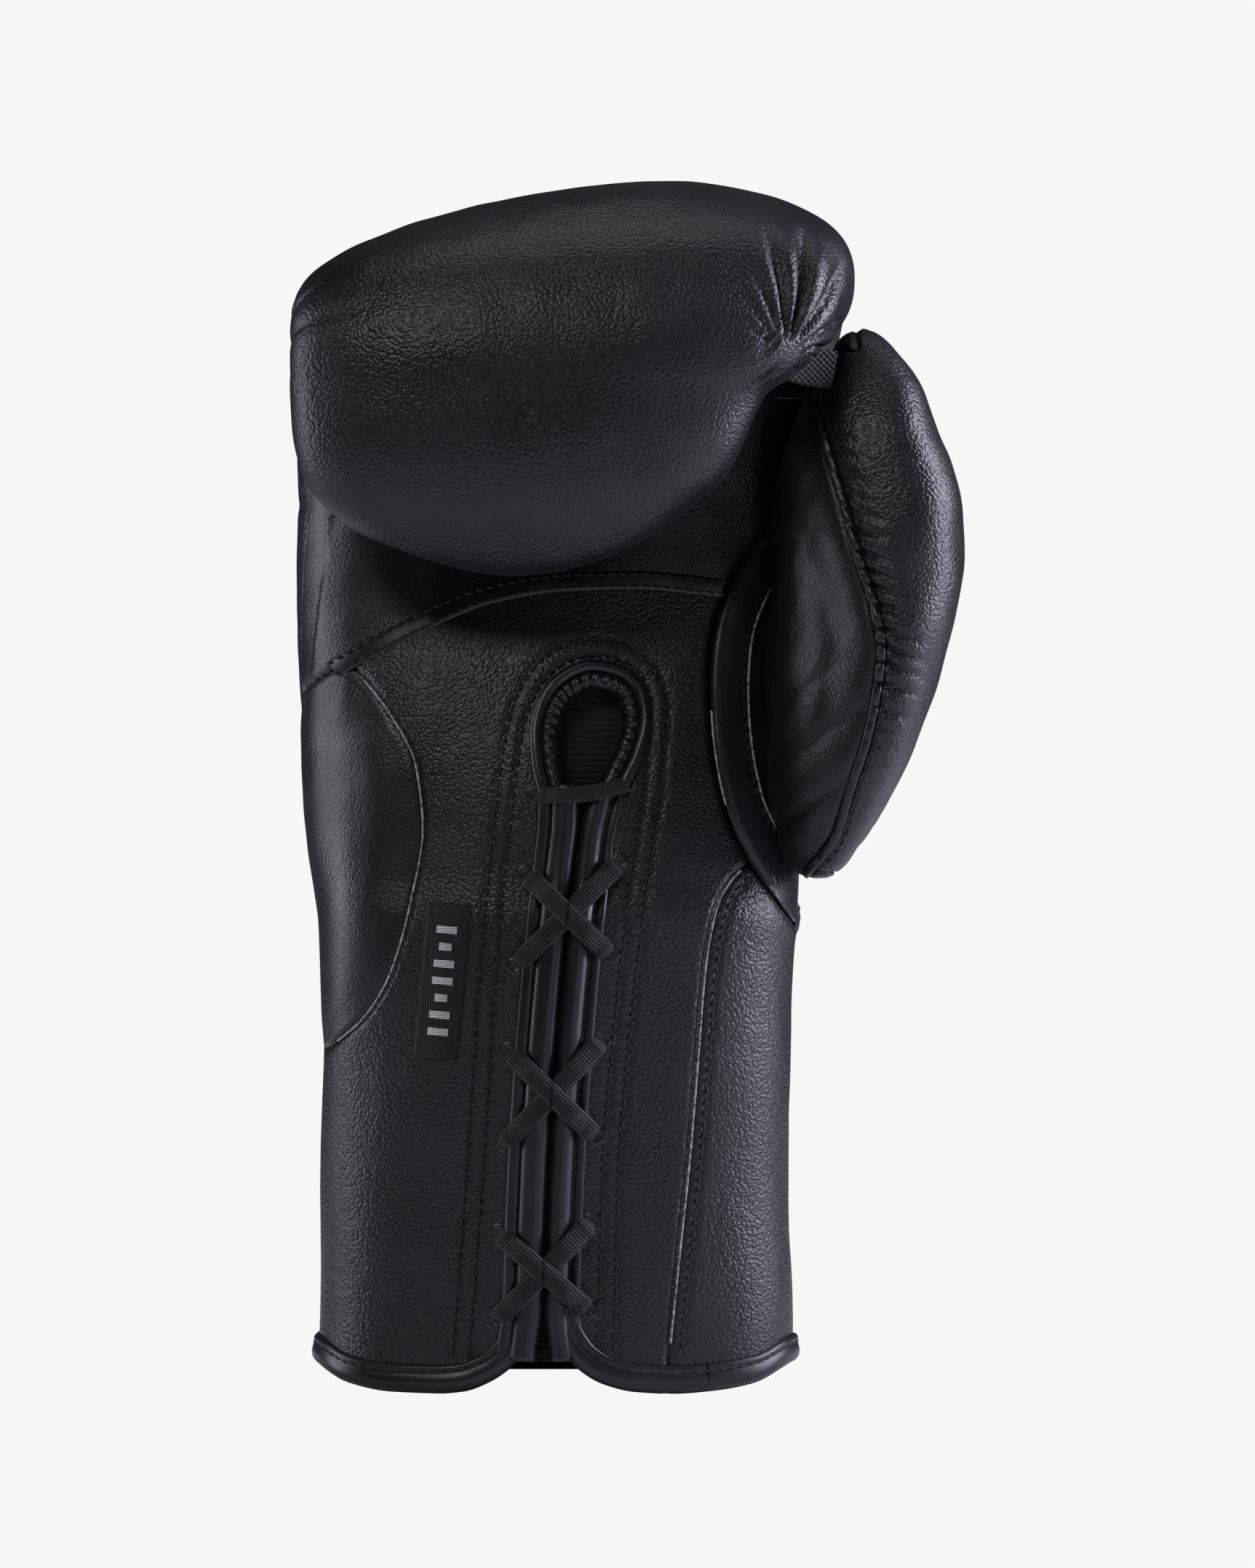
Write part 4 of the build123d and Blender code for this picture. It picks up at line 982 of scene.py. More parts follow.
@dataclass
class Palm:
    """Palm side of the glove: panels, seam strips, lacing edges and label.

    Args:
        skin: outer skin of the hand.
        finishes: the glove's materials.
        shop: makes the pieces.
        lines: seam lines.
    """

    skin: Skin
    finishes: Finishes
    shop: Workshop
    lines: PalmLines = field(default_factory=PalmLines)

    def __post_init__(self) -> None:
        """Cut the palm side out of the skin and work out the seam functions."""
        whole = self.skin.soup()
        run = self.skin.run.ravel()
        y = whole.points[:, 1]
        keep = np.minimum(SIDE_Y + 1.5 - y, 271.0 - run)
        self.front = whole.cut(keep, seam=False)
        self.surface = Surface(self.front)
        self.pinky_x = x_at(self.lines.at("pinky"), -150.0)
        self.cuff_x = x_at(self.lines.at("cuff"), 150.0)
        self.gusset_x = x_at(self.lines.at("gusset"), 150.0)
        arch = self.lines.at("arch")
        hem = self.lines.at("hem", 0.7)
        self.arch_z = lambda x: np.interp(x, arch[:, 0], arch[:, 1])
        self.hem_z = lambda x: np.interp(x, hem[:, 0], hem[:, 1])

    def lift(self, x: Array, z: Array) -> tuple[Array, Array]:
        """Surface points and normals of the palm side."""
        return self.surface.lift(x, z)

    def grooved(self, soup: Soup, lines: Sequence[Array], depth: float, width: float) -> Soup:
        """Press rows of stitches a little into a panel."""
        total = np.zeros(len(soup.points))
        flat = soup.points[:, [0, 2]]
        for line in lines:
            low, high = line.min(axis=0) - 4 * width, line.max(axis=0) + 4 * width
            near = np.nonzero(np.all((flat > low) & (flat < high), axis=1))[0]
            for start in range(0, len(near), 4000):
                some = near[start : start + 4000]
                gap = np.linalg.norm(flat[some, None, :] - line[None], axis=2).min(axis=1)
                total[some] = np.maximum(total[some], depth * np.exp(-((gap / width) ** 2)))
        return soup.shift(-total)

    def throat_distance(self, soup: Soup) -> Array:
        """Signed distance from the throat's edge, positive outside."""
        line = resample((*self.lines.throat, self.lines.throat[0]), 0.8)
        flat = soup.points[:, [0, 2]]
        result = np.full(len(flat), 50.0)
        near = np.nonzero((flat[:, 0] > -45) & (flat[:, 0] < 25) & (flat[:, 1] > 140) & (flat[:, 1] < 215))[0]
        spot = flat[near]
        gap = np.linalg.norm(spot[:, None] - line[None], axis=2).min(axis=1)
        first, last = line, np.roll(line, -1, axis=0)
        rise = (first[None, :, 1] > spot[:, None, 1]) != (last[None, :, 1] > spot[:, None, 1])
        slope = (last[:, 0] - first[:, 0]) / (last[:, 1] - first[:, 1] + 1e-9)
        cross = spot[:, None, 0] < first[None, :, 0] + slope[None] * (spot[:, None, 1] - first[None, :, 1])
        inside = (rise & cross).sum(axis=1) % 2 == 1
        result[near] = np.where(inside, -gap, gap)
        return result

    def stitch_lines(self) -> list[Array]:
        """Both rows of the arch round the lacing."""
        outer = self.lines.at("stitch_outer")
        inner = outer + 4.4 * side_of(outer)
        return [outer, inner]

    def build(self) -> None:
        """Make every palm piece."""
        self.upper()
        self.main()
        self.pinky()
        self.web()
        self.cuff_side()
        self.strips()
        self.lacing_seams()
        self.label()

    def upper(self) -> None:
        """Upper palm panel, above the arched seam."""
        x, _, z = self.front.points.T
        soup = self.front.cut(z - self.arch_z(x))
        x, _, z = soup.points.T
        soup = soup.cut(self.gusset_x(z) - x)
        piece = self.shop.piece(
            "upper_palm_leather", soup.rolled(1.0, 2.0), self.finishes.smooth, "smooth_leather",
            replaces=("upper_palm_panel", "grip_panel", "grip_bar"), thickness=LEATHER,
        )

    def main(self) -> None:
        """Main palm panel in two halves that meet at the lacing gap."""
        x, _, z = self.front.points.T
        soup = self.front.cut(self.arch_z(x) - z)
        x, _, z = soup.points.T
        soup = soup.cut(x - self.pinky_x(z))
        x, _, z = soup.points.T
        soup = soup.cut(np.minimum(self.cuff_x(z), self.gusset_x(z)) - x)
        x, _, z = soup.points.T
        soup = soup.cut(z - self.hem_z(x), seam=False)
        soup = soup.rolled(1.0, 2.0)
        soup = soup.cut(self.throat_distance(soup) - 0.4, seam=False)
        soup = self.grooved(soup, self.stitch_lines(), 0.55, 1.0)
        for half, nodes in (
            (Half.PINKY, ("palm_panel", "palm_foam", "pinky_flap_leather", "pinky_flap_foam")),
            (Half.THUMB, ("thumb_flap_leather", "thumb_flap_foam")),
        ):
            x, _, z = soup.points.T
            away = half.value * (x - gap_x(z)) - 7.0 * smooth(165.0, 161.0, z)
            side = soup.cut(away, seam=False)
            name = f"{half.name.lower()}_half_palm_leather"
            piece = self.shop.piece(
                name, side, self.finishes.palm, "grain_leather", replaces=nodes, half=half,
            )

    def pinky(self) -> None:
        """Smooth D-shaped panel at the little finger's side."""
        x, _, z = self.front.points.T
        soup = self.front.cut(self.pinky_x(z) - x)
        x, _, z = soup.points.T
        soup = soup.cut(self.arch_z(x) - z)
        bulge = 0.8 * smooth(0.0, 14.0, soup.edge)
        soup = soup.rolled(0.9, 2.0).shift(bulge)
        piece = self.shop.piece(
            "pinky_side_leather", soup, self.finishes.smooth, "smooth_leather",
            replaces=("pinky_side_panel",), thickness=LEATHER,
        )

    def web(self) -> None:
        """Web between the palm and the thumb."""
        x, _, z = self.front.points.T
        soup = self.front.cut(x - self.gusset_x(z) - 1.0)
        soup = soup.shift(np.full(len(soup.points), -0.6))
        self.shop.piece(
            "thumb_web_leather", soup, self.finishes.smooth, "smooth_leather",
            replaces=("thumb_web_panel",), thickness=LEATHER,
        )

    def cuff_side(self) -> None:
        """Cuff panel under the thumb."""
        x, _, z = self.front.points.T
        soup = self.front.cut(x - self.cuff_x(z))
        x, _, z = soup.points.T
        soup = soup.cut(self.gusset_x(z) - x)
        x, _, z = soup.points.T
        soup = soup.cut(z - self.hem_z(x), seam=False).rolled(0.9, 2.0)
        inside = self.lines.at("cuff")[2:-12]
        row = inside - 3.0 * side_of(inside)
        soup = self.grooved(soup, [row], 0.5, 0.9)
        piece = self.shop.piece(
            "thumb_side_cuff_leather", soup, self.finishes.palm, "grain_leather",
            replaces=("thumb_side_cuff_panel",), thickness=LEATHER,
        )
        self.shop.piece(
            "cuff_side_stitches", Sewing.row(self.lift, row), self.finishes.thread, "binding_leather"
        )

    def fray(self, name: str, line: Array, height: float, seed: int) -> None:
        """Thin raw edge that shows light between two panels."""
        ripple_seed = np.random.default_rng(seed).uniform(0, 6.28, 3)

        def ripple(run: Array, offset: Array) -> Array:
            """Uneven height along the raw edge."""
            rough = np.sin(run * 2.1 + ripple_seed[0]) + np.sin(run * 5.3 + ripple_seed[1])
            return 0.07 * rough * np.ones_like(offset)

        fine = resample(line, 0.6)
        soup = ribbon(self.lift, fine, cord_profile(0.3, height, 6), ripple=ripple)
        self.shop.piece(name, soup, self.finishes.frayed, "binding_leather")

    def strips(self) -> None:
        """Raised seam strip, gusset band and light raw edges."""
        arch = self.lines.at("arch")
        arch = arch[(arch[:, 0] > -80.5) & (arch[:, 0] < 25.5)]
        strip = ribbon(self.lift, arch, tape_profile(5.2, 1.2, -0.6))
        self.shop.piece(
            "palm_seam_strip_leather", strip, self.finishes.binding, "grain_leather", replaces=("palm_seam_strip",)
        )
        rows = [
            Sewing.row(self.lift, arch + offset * side_of(arch), width=0.4, height=0.85) for offset in (-1.7, 1.7)
        ]
        self.shop.piece("palm_seam_stitches", join(rows), self.finishes.thread, "binding_leather")
        self.fray("pinky_panel_raw_edge", self.lines.at("pinky")[2:-2], 0.0, 1)
        self.fray("cuff_seam_raw_edge", self.lines.at("cuff")[2:-12], 0.0, 2)
        inner, outer = self.lines.at("gusset", 1.0), self.lines.at("gusset_outer", 1.0)
        share = np.linspace(0, 1, 120)
        first = np.stack([np.interp(share, np.linspace(0, 1, len(inner)), inner[:, k]) for k in (0, 1)], 1)
        last = np.stack([np.interp(share, np.linspace(0, 1, len(outer)), outer[:, k]) for k in (0, 1)], 1)
        middle = (first + last) / 2
        keep = (middle[:, 1] < 246) & (middle[:, 1] > 139.0)
        middle = middle[keep]
        half_width = 4.9
        band = ribbon(self.lift, middle, tape_profile(2 * half_width, 2.2, -0.3))
        piece = self.shop.piece(
            "thumb_gusset_band_leather", band, self.finishes.binding, "grain_leather", replaces=("thumb_gusset_band",)
        )
        rows = [
            Sewing.row(self.lift, middle + offset * side_of(middle), height=2.1)
            for offset in (-half_width + 1.6, half_width - 2.0)
        ]
        self.shop.piece("thumb_gusset_stitches", join(rows), self.finishes.thread, "binding_leather")
        for number, side in enumerate((-1, 1)):
            edge = middle + side * (half_width + 0.1) * side_of(middle)
            seen = (edge[:, 1] > (144, 158)[number]) & (edge[:, 1] < (232, 186)[number])
            self.fray(f"thumb_gusset_raw_edge_{number}", edge[seen], 1.2, 4 + number)

    def lacing_seams(self) -> None:
        """Double rows of stitches round the lacing, in a half for each flap."""
        for half in Half:
            rows = []
            for line in self.stitch_lines():
                near = half.value * (line[:, 0] - THROAT_X) > 0
                low = half.value * (line[:, 0] - gap_x(line[:, 1])) > 0
                side = line[np.where(line[:, 1] > 160, near, low)]
                rows.append(Sewing.row(self.lift, side, width=0.36))
            name = f"{half.name.lower()}_half_lacing_stitches"
            self.shop.piece(name, join(rows), self.finishes.thread, "binding_leather", half=half)

    def label(self) -> None:
        """Woven side label with a plain border and a row of bars."""
        foot, head = np.array([-51.9, 90.8]), np.array([-48.2, 132.8])
        line = resample((foot, head), 1.0)
        base = ribbon(self.lift, line, tape_profile(12.0, 0.7, 0.1))
        self.shop.piece("side_label_patch", base, self.finishes.label, "label_weave", replaces=("side_label",))
        bars: list[Soup] = []
        way = (head - foot) / np.linalg.norm(head - foot)
        for k, length in enumerate((5.6, 5.6, 3.4, 5.6, 5.6, 3.4, 5.6)):
            centre = foot + way * (7.4 + 4.6 * k)
            bar = resample((centre - way * 1.0, centre + way * 1.0), 0.5)
            bars.append(ribbon(self.lift, bar, tape_profile(length, 0.16, 0.85)))
        self.shop.piece("side_label_bars", join(bars), self.finishes.label_light, "label_weave")
        across = np.array([way[1], -way[0]])
        corners = [foot + way * 1.2 - across * 4.9, head - way * 1.2 - across * 4.9]
        corners += [head - way * 1.2 + across * 4.9, foot + way * 1.2 + across * 4.9]
        rows = [
            Sewing.row(self.lift, resample((corners[k], corners[(k + 1) % 4]), 1.0), 1.8, 1.3, 0.2, 0.75)
            for k in range(4)
        ]
        self.shop.piece("side_label_stitches", join(rows), self.finishes.thread, "label_weave")


@dataclass
class Lacing:
    """Flap edges, throat, tongue and lace.

    Args:
        palm: the palm that carries them.
        finishes: the glove's materials.
        shop: makes the pieces.
    """

    palm: Palm
    finishes: Finishes
    shop: Workshop
    hole_heights: tuple[float, ...] = (164.0, 142.5, 117.5, 94.5, 68.5, 45.5, 21.5)
    hole_reach: float = 12.8
    lace_thickness: float = 1.9

    def build(self) -> None:
        """Make every lacing piece."""
        self.edges()
        self.throat()
        self.tongue()
        self.holes()
        self.lace()

    def edges(self) -> None:
        """Rolled edge, stitch line and flat outer strip of each flap."""
        profile = [
            (0.9, -4.0), (0.45, -1.0), (0.5, 0.6), (1.0, 1.9), (1.9, 2.7), (3.3, 3.1), (4.8, 2.8), (6.1, 1.9),
            (6.9, 0.8),
            (7.25, 0.05), (7.6, 0.45), (8.1, 0.95), (9.2, 1.15), (9.9, 0.95), (10.25, 0.2), (10.3, -0.8),
        ]
        heights = np.arange(9.0, 166.0, 1.2)
        for half in Half:
            x = (
                gap_x(heights)
                + half.value * 1.6 * smooth(24.0, 8.0, heights)
                + half.value * 1.4 * smooth(150.0, 168.0, heights)
            )
            line = np.stack([x, heights], axis=1)
            sided = [(half.value * offset, height) for offset, height in profile]
            band = ribbon(self.palm.lift, line, sided)
            name = half.name.lower()
            piece = self.shop.piece(
                f"{name}_flap_rolled_edge", band, self.finishes.binding, "binding_leather",
                replaces=(f"{name}_flap_edge_roll",), thickness=0.8, half=half,
            )
            row = line + np.array([half.value * 7.3, 0.0])
            stitches = Sewing.row(self.palm.lift, row, width=0.4, height=0.55)
            self.shop.piece(
                f"{name}_flap_edge_stitches", stitches, self.finishes.thread, "binding_leather", half=half
            )

    def throat(self) -> None:
        """Piping and gathered collar of the drop-shaped opening."""
        line = resample(self.palm.lines.throat, 0.6)
        length = float(np.linalg.norm(np.diff(line, axis=0), axis=1).sum())
        piping = ribbon(self.palm.lift, line, cord_profile(1.7, 0.9))
        self.shop.piece(
            "throat_piping_cord", piping, self.finishes.binding, "binding_leather", replaces=("throat_piping",)
        )

        def gathers(run: Array, offset: Array) -> Array:
            """Puckers that run across the collar."""
            ends = np.sin(np.clip(run / length, 0, 1) * math.pi) ** 0.5
            crease = np.abs(np.sin(run * math.pi / 3.3 + 0.25 * offset + 0.7 * np.sin(0.23 * run)))
            inward = smooth(1.2, 3.2, offset)
            return -1.1 * ends * inward * (1 - crease) ** 1.6

        profile = [
            (1.2, 0.2), (2.0, 1.3), (3.0, 1.9), (4.2, 1.9), (5.3, 1.1), (6.1, -0.4), (6.4, -2.5), (6.2, -6.0),
            (5.6, -10.0),
        ]
        collar = ribbon(self.palm.lift, line, profile, ripple=gathers)
        piece = self.shop.piece(
            "throat_gathered_collar", collar, self.finishes.smooth, "smooth_leather",
            replaces=("throat_collar",), thickness=0.7,
        )

    def tongue(self) -> None:
        """Ribbed tongue that hangs behind the gap."""
        heights = np.linspace(8.6, 200.0, 200)
        across = np.linspace(-19.0, 19.0, 40)
        middle = gap_x(heights)
        lower = smooth(40.0, 8.0, heights)
        x = middle[:, None] + across[None, :] * (1 - 0.66 * lower[:, None])
        z = np.repeat(heights[:, None], len(across), axis=1)
        base, _ = self.palm.lift(middle - 16.0, heights)
        y = base[:, 1:2] + 8.5 + 0.004 * across[None, :] ** 2
        points = np.stack([x, y, z], axis=-1).reshape(-1, 3)
        faces = grid_faces(len(heights), len(across), False)
        normals = np.tile(np.array([0.0, -1.0, 0.0]), (len(points), 1))
        soup = Soup(points, normals, faces, np.full(len(points), 99.0))
        piece = self.shop.piece(
            "ribbed_tongue", soup, self.finishes.rib, "tongue_rib", body="tongue",
            replaces=("tongue_face", "tongue_foam"), thickness=2.0,
        )

    def hole(self, number: int, half: Half) -> Array:
        """Front-view place of one lace hole, counted from the top."""
        z = self.hole_heights[number]
        lean = 1.5 if half is Half.THUMB else -1.5
        return np.array([float(gap_x(np.array(z))) + half.value * self.hole_reach, z + lean])

    def holes(self) -> None:
        """Pressed rims round each lace hole, in a piece for each flap."""
        for half in Half:
            rims: list[Soup] = []
            for number in range(len(self.hole_heights)):
                centre = self.hole(number, half)
                turns = np.linspace(0, 2 * math.pi, 28, endpoint=False)
                ring = centre + 1.9 * np.stack([np.cos(turns), np.sin(turns)], axis=1)
                profile = [(-0.9, 0.02), (-0.3, 0.28), (0.2, 0.25), (0.7, -0.2), (1.88, -0.25)]
                rims.append(ribbon(self.palm.lift, ring, profile, closed=True))
            name = f"{half.name.lower()}_flap_hole_rims"
            self.shop.piece(name, join(rims), self.finishes.binding, "binding_leather", half=half)

    def strand(self, first: Array, last: Array, crown: float, width: float = 5.6, sag: float = 0.0) -> Soup:
        """One lace strand between two holes.

        Args:
            first: front-view place of the first hole.
            last: front-view place of the second hole.
            crown: height of the strand where it passes the gap.
            width: width of the strand.
            sag: how far its middle hangs down.

        Returns:
            The strand.
        """
        line = resample((first, last), 0.7)
        share = np.linspace(-1, 1, len(line))
        line[:, 1] -= sag * (1 - share**2)
        rise = crown - (crown - 1.1) * smooth(0.45, 0.86, np.abs(share)) - 3.2 * smooth(0.88, 1.0, np.abs(share))
        mid, normal = self.palm.lift(line[:, 0], line[:, 1])
        ease = np.convolve(np.pad(mid[:, 1], 9, mode="edge"), np.ones(19) / 19, mode="valid")
        side = side_of(line)
        shape = np.array(tape_profile(width, self.lace_thickness, 0.0))
        narrow = 1.0 - 0.35 * smooth(0.86, 1.0, np.abs(share))
        across = np.stack([side[:, 0], np.zeros(len(line)), side[:, 1]], axis=1)
        normal = np.array([0.0, -1.0, 0.0])
        centre = np.stack([line[:, 0], ease, line[:, 1]], axis=1) + normal * rise[:, None]
        wide = across[:, None] * (shape[None, :, :1] * narrow[:, None, None])
        points = centre[:, None] + wide + normal * shape[None, :, 1:]
        flat = points.reshape(-1, 3)
        faces = grid_faces(len(line), len(shape), False)
        return Soup(flat, np.tile(normal, (len(flat), 1)), faces, np.full(len(flat), 99.0))

    def lace(self) -> None:
        """Top bar and three crosses, the lower part in a half for each flap."""
        bar = self.strand(self.hole(0, Half.PINKY), self.hole(0, Half.THUMB), 3.4, width=4.4, sag=1.6)
        self.shop.piece("lace_top_bar", bar, self.finishes.lace, "lace_weave", replaces=("lace",))
        halves: dict[Half, list[Soup]] = {half: [] for half in Half}
        for upper in (1, 3, 5):
            over = self.strand(self.hole(upper, Half.PINKY), self.hole(upper + 1, Half.THUMB), 4.9)
            under = self.strand(self.hole(upper + 1, Half.PINKY), self.hole(upper, Half.THUMB), 3.5)
            for strand in (over, under):
                for half in Half:
                    x, _, z = strand.points.T
                    halves[half].append(strand.cut(half.value * (x - gap_x(z)) + 0.4, seam=False))
        for half, parts in halves.items():
            name = f"{half.name.lower()}_half_lace_crosses"
            self.shop.piece(name, join(parts), self.finishes.lace, "lace_weave", half=half)


@dataclass
class ThumbForm:
    """Padded thumb: inner panel, outer leather, seam piping and tie strap.

    Args:
        finishes: the glove's materials.
        shop: makes the pieces.
        palm: palm that the strap ties to; not used.
        stations: run, height, turn, inside, outside, palm side, back side and squareness.
        seam: front-view line of the piping.
    """

    finishes: Finishes
    shop: Workshop
    palm: Palm
    stations: tuple[tuple[float, ...], ...] = (
        (139.5, 139.5, 0, 48, 51, -1, 5, 2.2),
        (141, 141, 0, 44.5, 55.5, -5, 9, 2.3),
        (148, 148, 0, 39, 61.5, -12, 15, 2.3),
        (155.7, 155.7, 0, 37.5, 67, -18, 20, 2.3),
        (169, 169, 0, 35.5, 74.9, -23, 25, 2.3),
        (183, 183, 0, 35.5, 80.4, -26, 28, 2.3),
        (197, 197, 0, 35.5, 85.4, -27.5, 30.5, 2.3),
        (211, 211, 0, 36.5, 89.1, -28, 32, 2.3),
        (225, 225, 0, 37, 91.2, -28, 32.5, 2.3),
        (239, 239, 0, 38.5, 90.7, -27, 32, 2.3),
        (253, 253, 0, 41.5, 87.5, -24.5, 29.5, 2.3),
        (262, 262, 0, 45, 84.2, -22, 27, 2.3),
        (274, 274, 0, 49.5, 79.5, -16, 22, 2.3),
        (281, 281, 0, 54, 74.9, -11, 16.5, 2.3),
        (286, 286, 0, 58, 70.5, -6, 11, 2.2),
        (288.4, 288.4, 0, 61.5, 67, -1, 6, 2.1),
        (289, 289, 0, 63.9, 64.6, 2, 3, 2.0),
    )
    seam: tuple[tuple[float, float], ...] = (
        (51.5, 283), (49.6, 272.6), (54, 255), (58, 241), (62, 226), (66.2, 213), (68.1, 201.7), (66.7, 188.7),
        (64.1, 176.5), (60.2, 164.4), (56, 151), (48.5, 141.0),
    )

    def skin(self) -> Skin:
        """Make the thumb's skin with gathers and creases."""
        skin = Skin(self.stations, 0.8, 230, shear=0.34)
        x, y, z = skin.flat().T
        pipe = np.interp(z, [row[1] for row in self.seam][::-1], [row[0] for row in self.seam][::-1])
        front = smooth(2.0, -14.0, y)
        beside = x - pipe
        reach = np.exp(-((beside - 2.5) / 5.5) ** 2) * (beside > -0.5) * front
        strong = smooth(176.0, 196.0, z) * (1 - smooth(226.0, 246.0, z)) + 0.25
        wander = 0.8 * np.sin(0.31 * z + 0.2 * beside)
        folds = (1 - np.abs(np.sin((z + 0.35 * beside + wander) * math.pi / 5.2))) ** 1.5
        inner = (beside < 0) * front * smooth(0.0, -4.0, beside)
        low = 1 - smooth(175.0, 215.0, z)
        creases = inner * low * (1 - np.abs(np.sin((z - 0.8 * x + 2.0 * np.sin(0.11 * x)) * math.pi / 17.0))) ** 1.3
        hollow = inner * np.sin(np.clip((z - 145.0) / 125.0, 0, 1) * math.pi) * smooth(-2.0, -16.0, beside)
        seat = 0.9 * np.exp(-((beside / 1.5) ** 2)) * front
        puff = 0.9 * np.exp(-(((beside - 7.0) / 6.0) ** 2)) * front
        swell = 0.3 * waves(skin.flat(), 30.0, 21) + 0.1 * waves(skin.flat(), 11.0, 22)
        skin.displace(swell + puff - 2.1 * reach * strong * folds - 0.8 * creases - 3.6 * hollow - seat)
        return skin

    def build(self) -> None:
        """Make every thumb piece."""
        skin = self.skin()
        whole = skin.soup()
        surface = Surface(whole)
        seam = resample(self.seam, 0.8)
        pipe = x_at(seam, 62.0)
        x, y, z = whole.points.T
        inner = whole.cut(np.minimum(pipe(z) - x, -y - 2.0))
        panel = self.shop.piece(
            "thumb_inner_leather", inner.rolled(0.8, 1.6), self.finishes.smooth, "smooth_leather", body="thumb",
            replaces=("thumb_inner_panel",), thickness=LEATHER,
        )
        outer = whole.cut(np.maximum(x - pipe(z), y + 2.0))
        shell = self.shop.piece(
            "thumb_outer_leather", outer.rolled(0.8, 1.6), self.finishes.grain, "grain_leather", body="thumb",
            replaces=("thumb_leather", "thumb_foam", "thumb_lining"), thickness=LEATHER,
        )
        piping = ribbon(surface.lift, seam, cord_profile(1.25, 0.35))
        self.shop.piece(
            "thumb_piping_cord", piping, self.finishes.binding, "binding_leather", body="thumb",
            replaces=("thumb_piping",),
        )
        beside = seam[8:-8] + 2.6 * -side_of(seam)[8:-8]
        self.shop.piece(
            "thumb_seam_stitches", Sewing.row(surface.lift, beside), self.finishes.thread, "binding_leather",
            body="thumb",
        )
        self.strap()

    def strap(self) -> None:
        """Webbing strap between the fist's pleats and the thumb's tip."""
        first = np.array([38.0, -41.0, 281.0])
        last = np.array([55.5, -26.0, 277.5])
        share = np.linspace(0, 1, 40)[:, None]
        line = first * (1 - share) + last * share + np.array([0.0, 2.0, -0.6]) * np.sin(share * math.pi)
        way = (last - first) / np.linalg.norm(last - first)
        across = np.cross(way, np.array([0.0, -1.0, 0.0]))
        across /= np.linalg.norm(across)
        up = np.cross(across, way)
        up *= -np.sign(up[1])
        shape = np.array(tape_profile(10.5, 1.6, -0.8))
        points = line[:, None] + across * shape[None, :, :1] + up * shape[None, :, 1:]
        flat = points.reshape(-1, 3)
        soup = Soup(flat, np.tile(up, (len(flat), 1)), grid_faces(40, len(shape), False), np.full(len(flat), 99.0))
        piece = self.shop.piece(
            "thumb_tie_strap", soup, self.finishes.webbing, "webbing", body="hand", replaces=("thumb_strap",)
        )
        piece.parent = None
        del piece["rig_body"]
        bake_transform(piece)


@dataclass
class Shell:
    """Fist leather, cuff back, wrist band, hem binding and lining.

    Args:
        skin: outer skin of the hand.
        palm: palm side, for the hem's line.
        finishes: the glove's materials.
        shop: makes the pieces.
    """

    skin: Skin
    palm: Palm
    finishes: Finishes
    shop: Workshop
    band_low: float = 121.5
    band_high: float = 132.5

    def build(self) -> None:
        """Make every piece of the shell."""
        whole = self.skin.soup()
        run = self.skin.run.ravel()
        x, y, z = whole.points.T
        outside = np.where(run > 271.0, 5.0, y - SIDE_Y)
        fist = whole.cut(np.minimum(outside, run - self.band_high + 2.0))
        piece = self.shop.piece(
            "fist_outer_leather", fist.rolled(0.8, 2.0), self.finishes.grain, "grain_leather",
            replaces=(
                "fist_leather", "finger_lobe_leather", "knuckle_pad", "impact_foam", "knuckle_foam", "finger_foam",
            ),
            thickness=LEATHER,
        )
        back = whole.cut(np.minimum(y - SIDE_Y, self.band_low + 2.0 - run))
        x, y, z = back.points.T
        back = back.cut(z - self.back_hem(x), seam=False)
        piece = self.shop.piece(
            "back_cuff_leather", back.rolled(0.8, 2.0), self.finishes.grain, "grain_leather",
            replaces=("back_cuff_panel", "back_cuff_foam"), thickness=LEATHER,
        )
        self.band(whole, run)
        self.hem()
        self.lining()

    def back_hem(self, x: Array) -> Array:
        """Height of the hem's lower edge round the back."""
        return 2.0 + 5.0 * np.clip(np.abs(x + 20.2) / 64.0, 0, 1) ** 4

    def band(self, whole: Soup, run: Array) -> None:
        """Wrist band strip between two stitch rows."""
        y = whole.points[:, 1]
        ends = smooth(SIDE_Y - 3.0, SIDE_Y + 9.0, y)
        middle = (self.band_low + self.band_high) / 2
        half = (self.band_high - self.band_low) / 2
        strip = Soup(whole.points, whole.normals, whole.faces, ends).cut(
            np.minimum(half - np.abs(run - middle), y - SIDE_Y + 3.0), seam=False
        )
        z = strip.points[:, 2]
        across = np.clip(1 - np.abs(z - middle) / half, 0, 1)
        puff = 0.4 + 1.6 * smooth(0.0, 0.3, across) - 0.7 * np.exp(-(((np.abs(z - middle) - half + 2.1) / 0.9) ** 2))
        piece = self.shop.piece(
            "wrist_band_leather", strip.shift(puff * (0.15 + 0.85 * strip.edge)), self.finishes.grain,
            "grain_leather", replaces=("wrist_band",), thickness=1.2,
        )
        rows = [self.ring(height, 1.6) for height in (self.band_low + 2.1, self.band_high - 2.1)]
        self.shop.piece("wrist_band_stitches", join(rows), self.finishes.thread, "binding_leather")

    def ring(self, height: float, out: float) -> Soup:
        """Stitches round the back at one height."""
        row = int(np.argmin(np.abs(self.skin.run[:, 0] - height)))
        points, normals = self.skin.points[row], self.skin.normals[row]
        keep = points[:, 1] > SIDE_Y + 7.0
        order = np.argsort(np.arctan2(points[keep, 1] - SIDE_Y, points[keep, 0] + 20.0))
        line, up = points[keep][order], normals[keep][order]
        run = np.concatenate([[0.0], np.cumsum(np.linalg.norm(np.diff(line, axis=0), axis=1))])
        even = np.arange(2.0, run[-1] - 2.0, STITCH_PITCH)

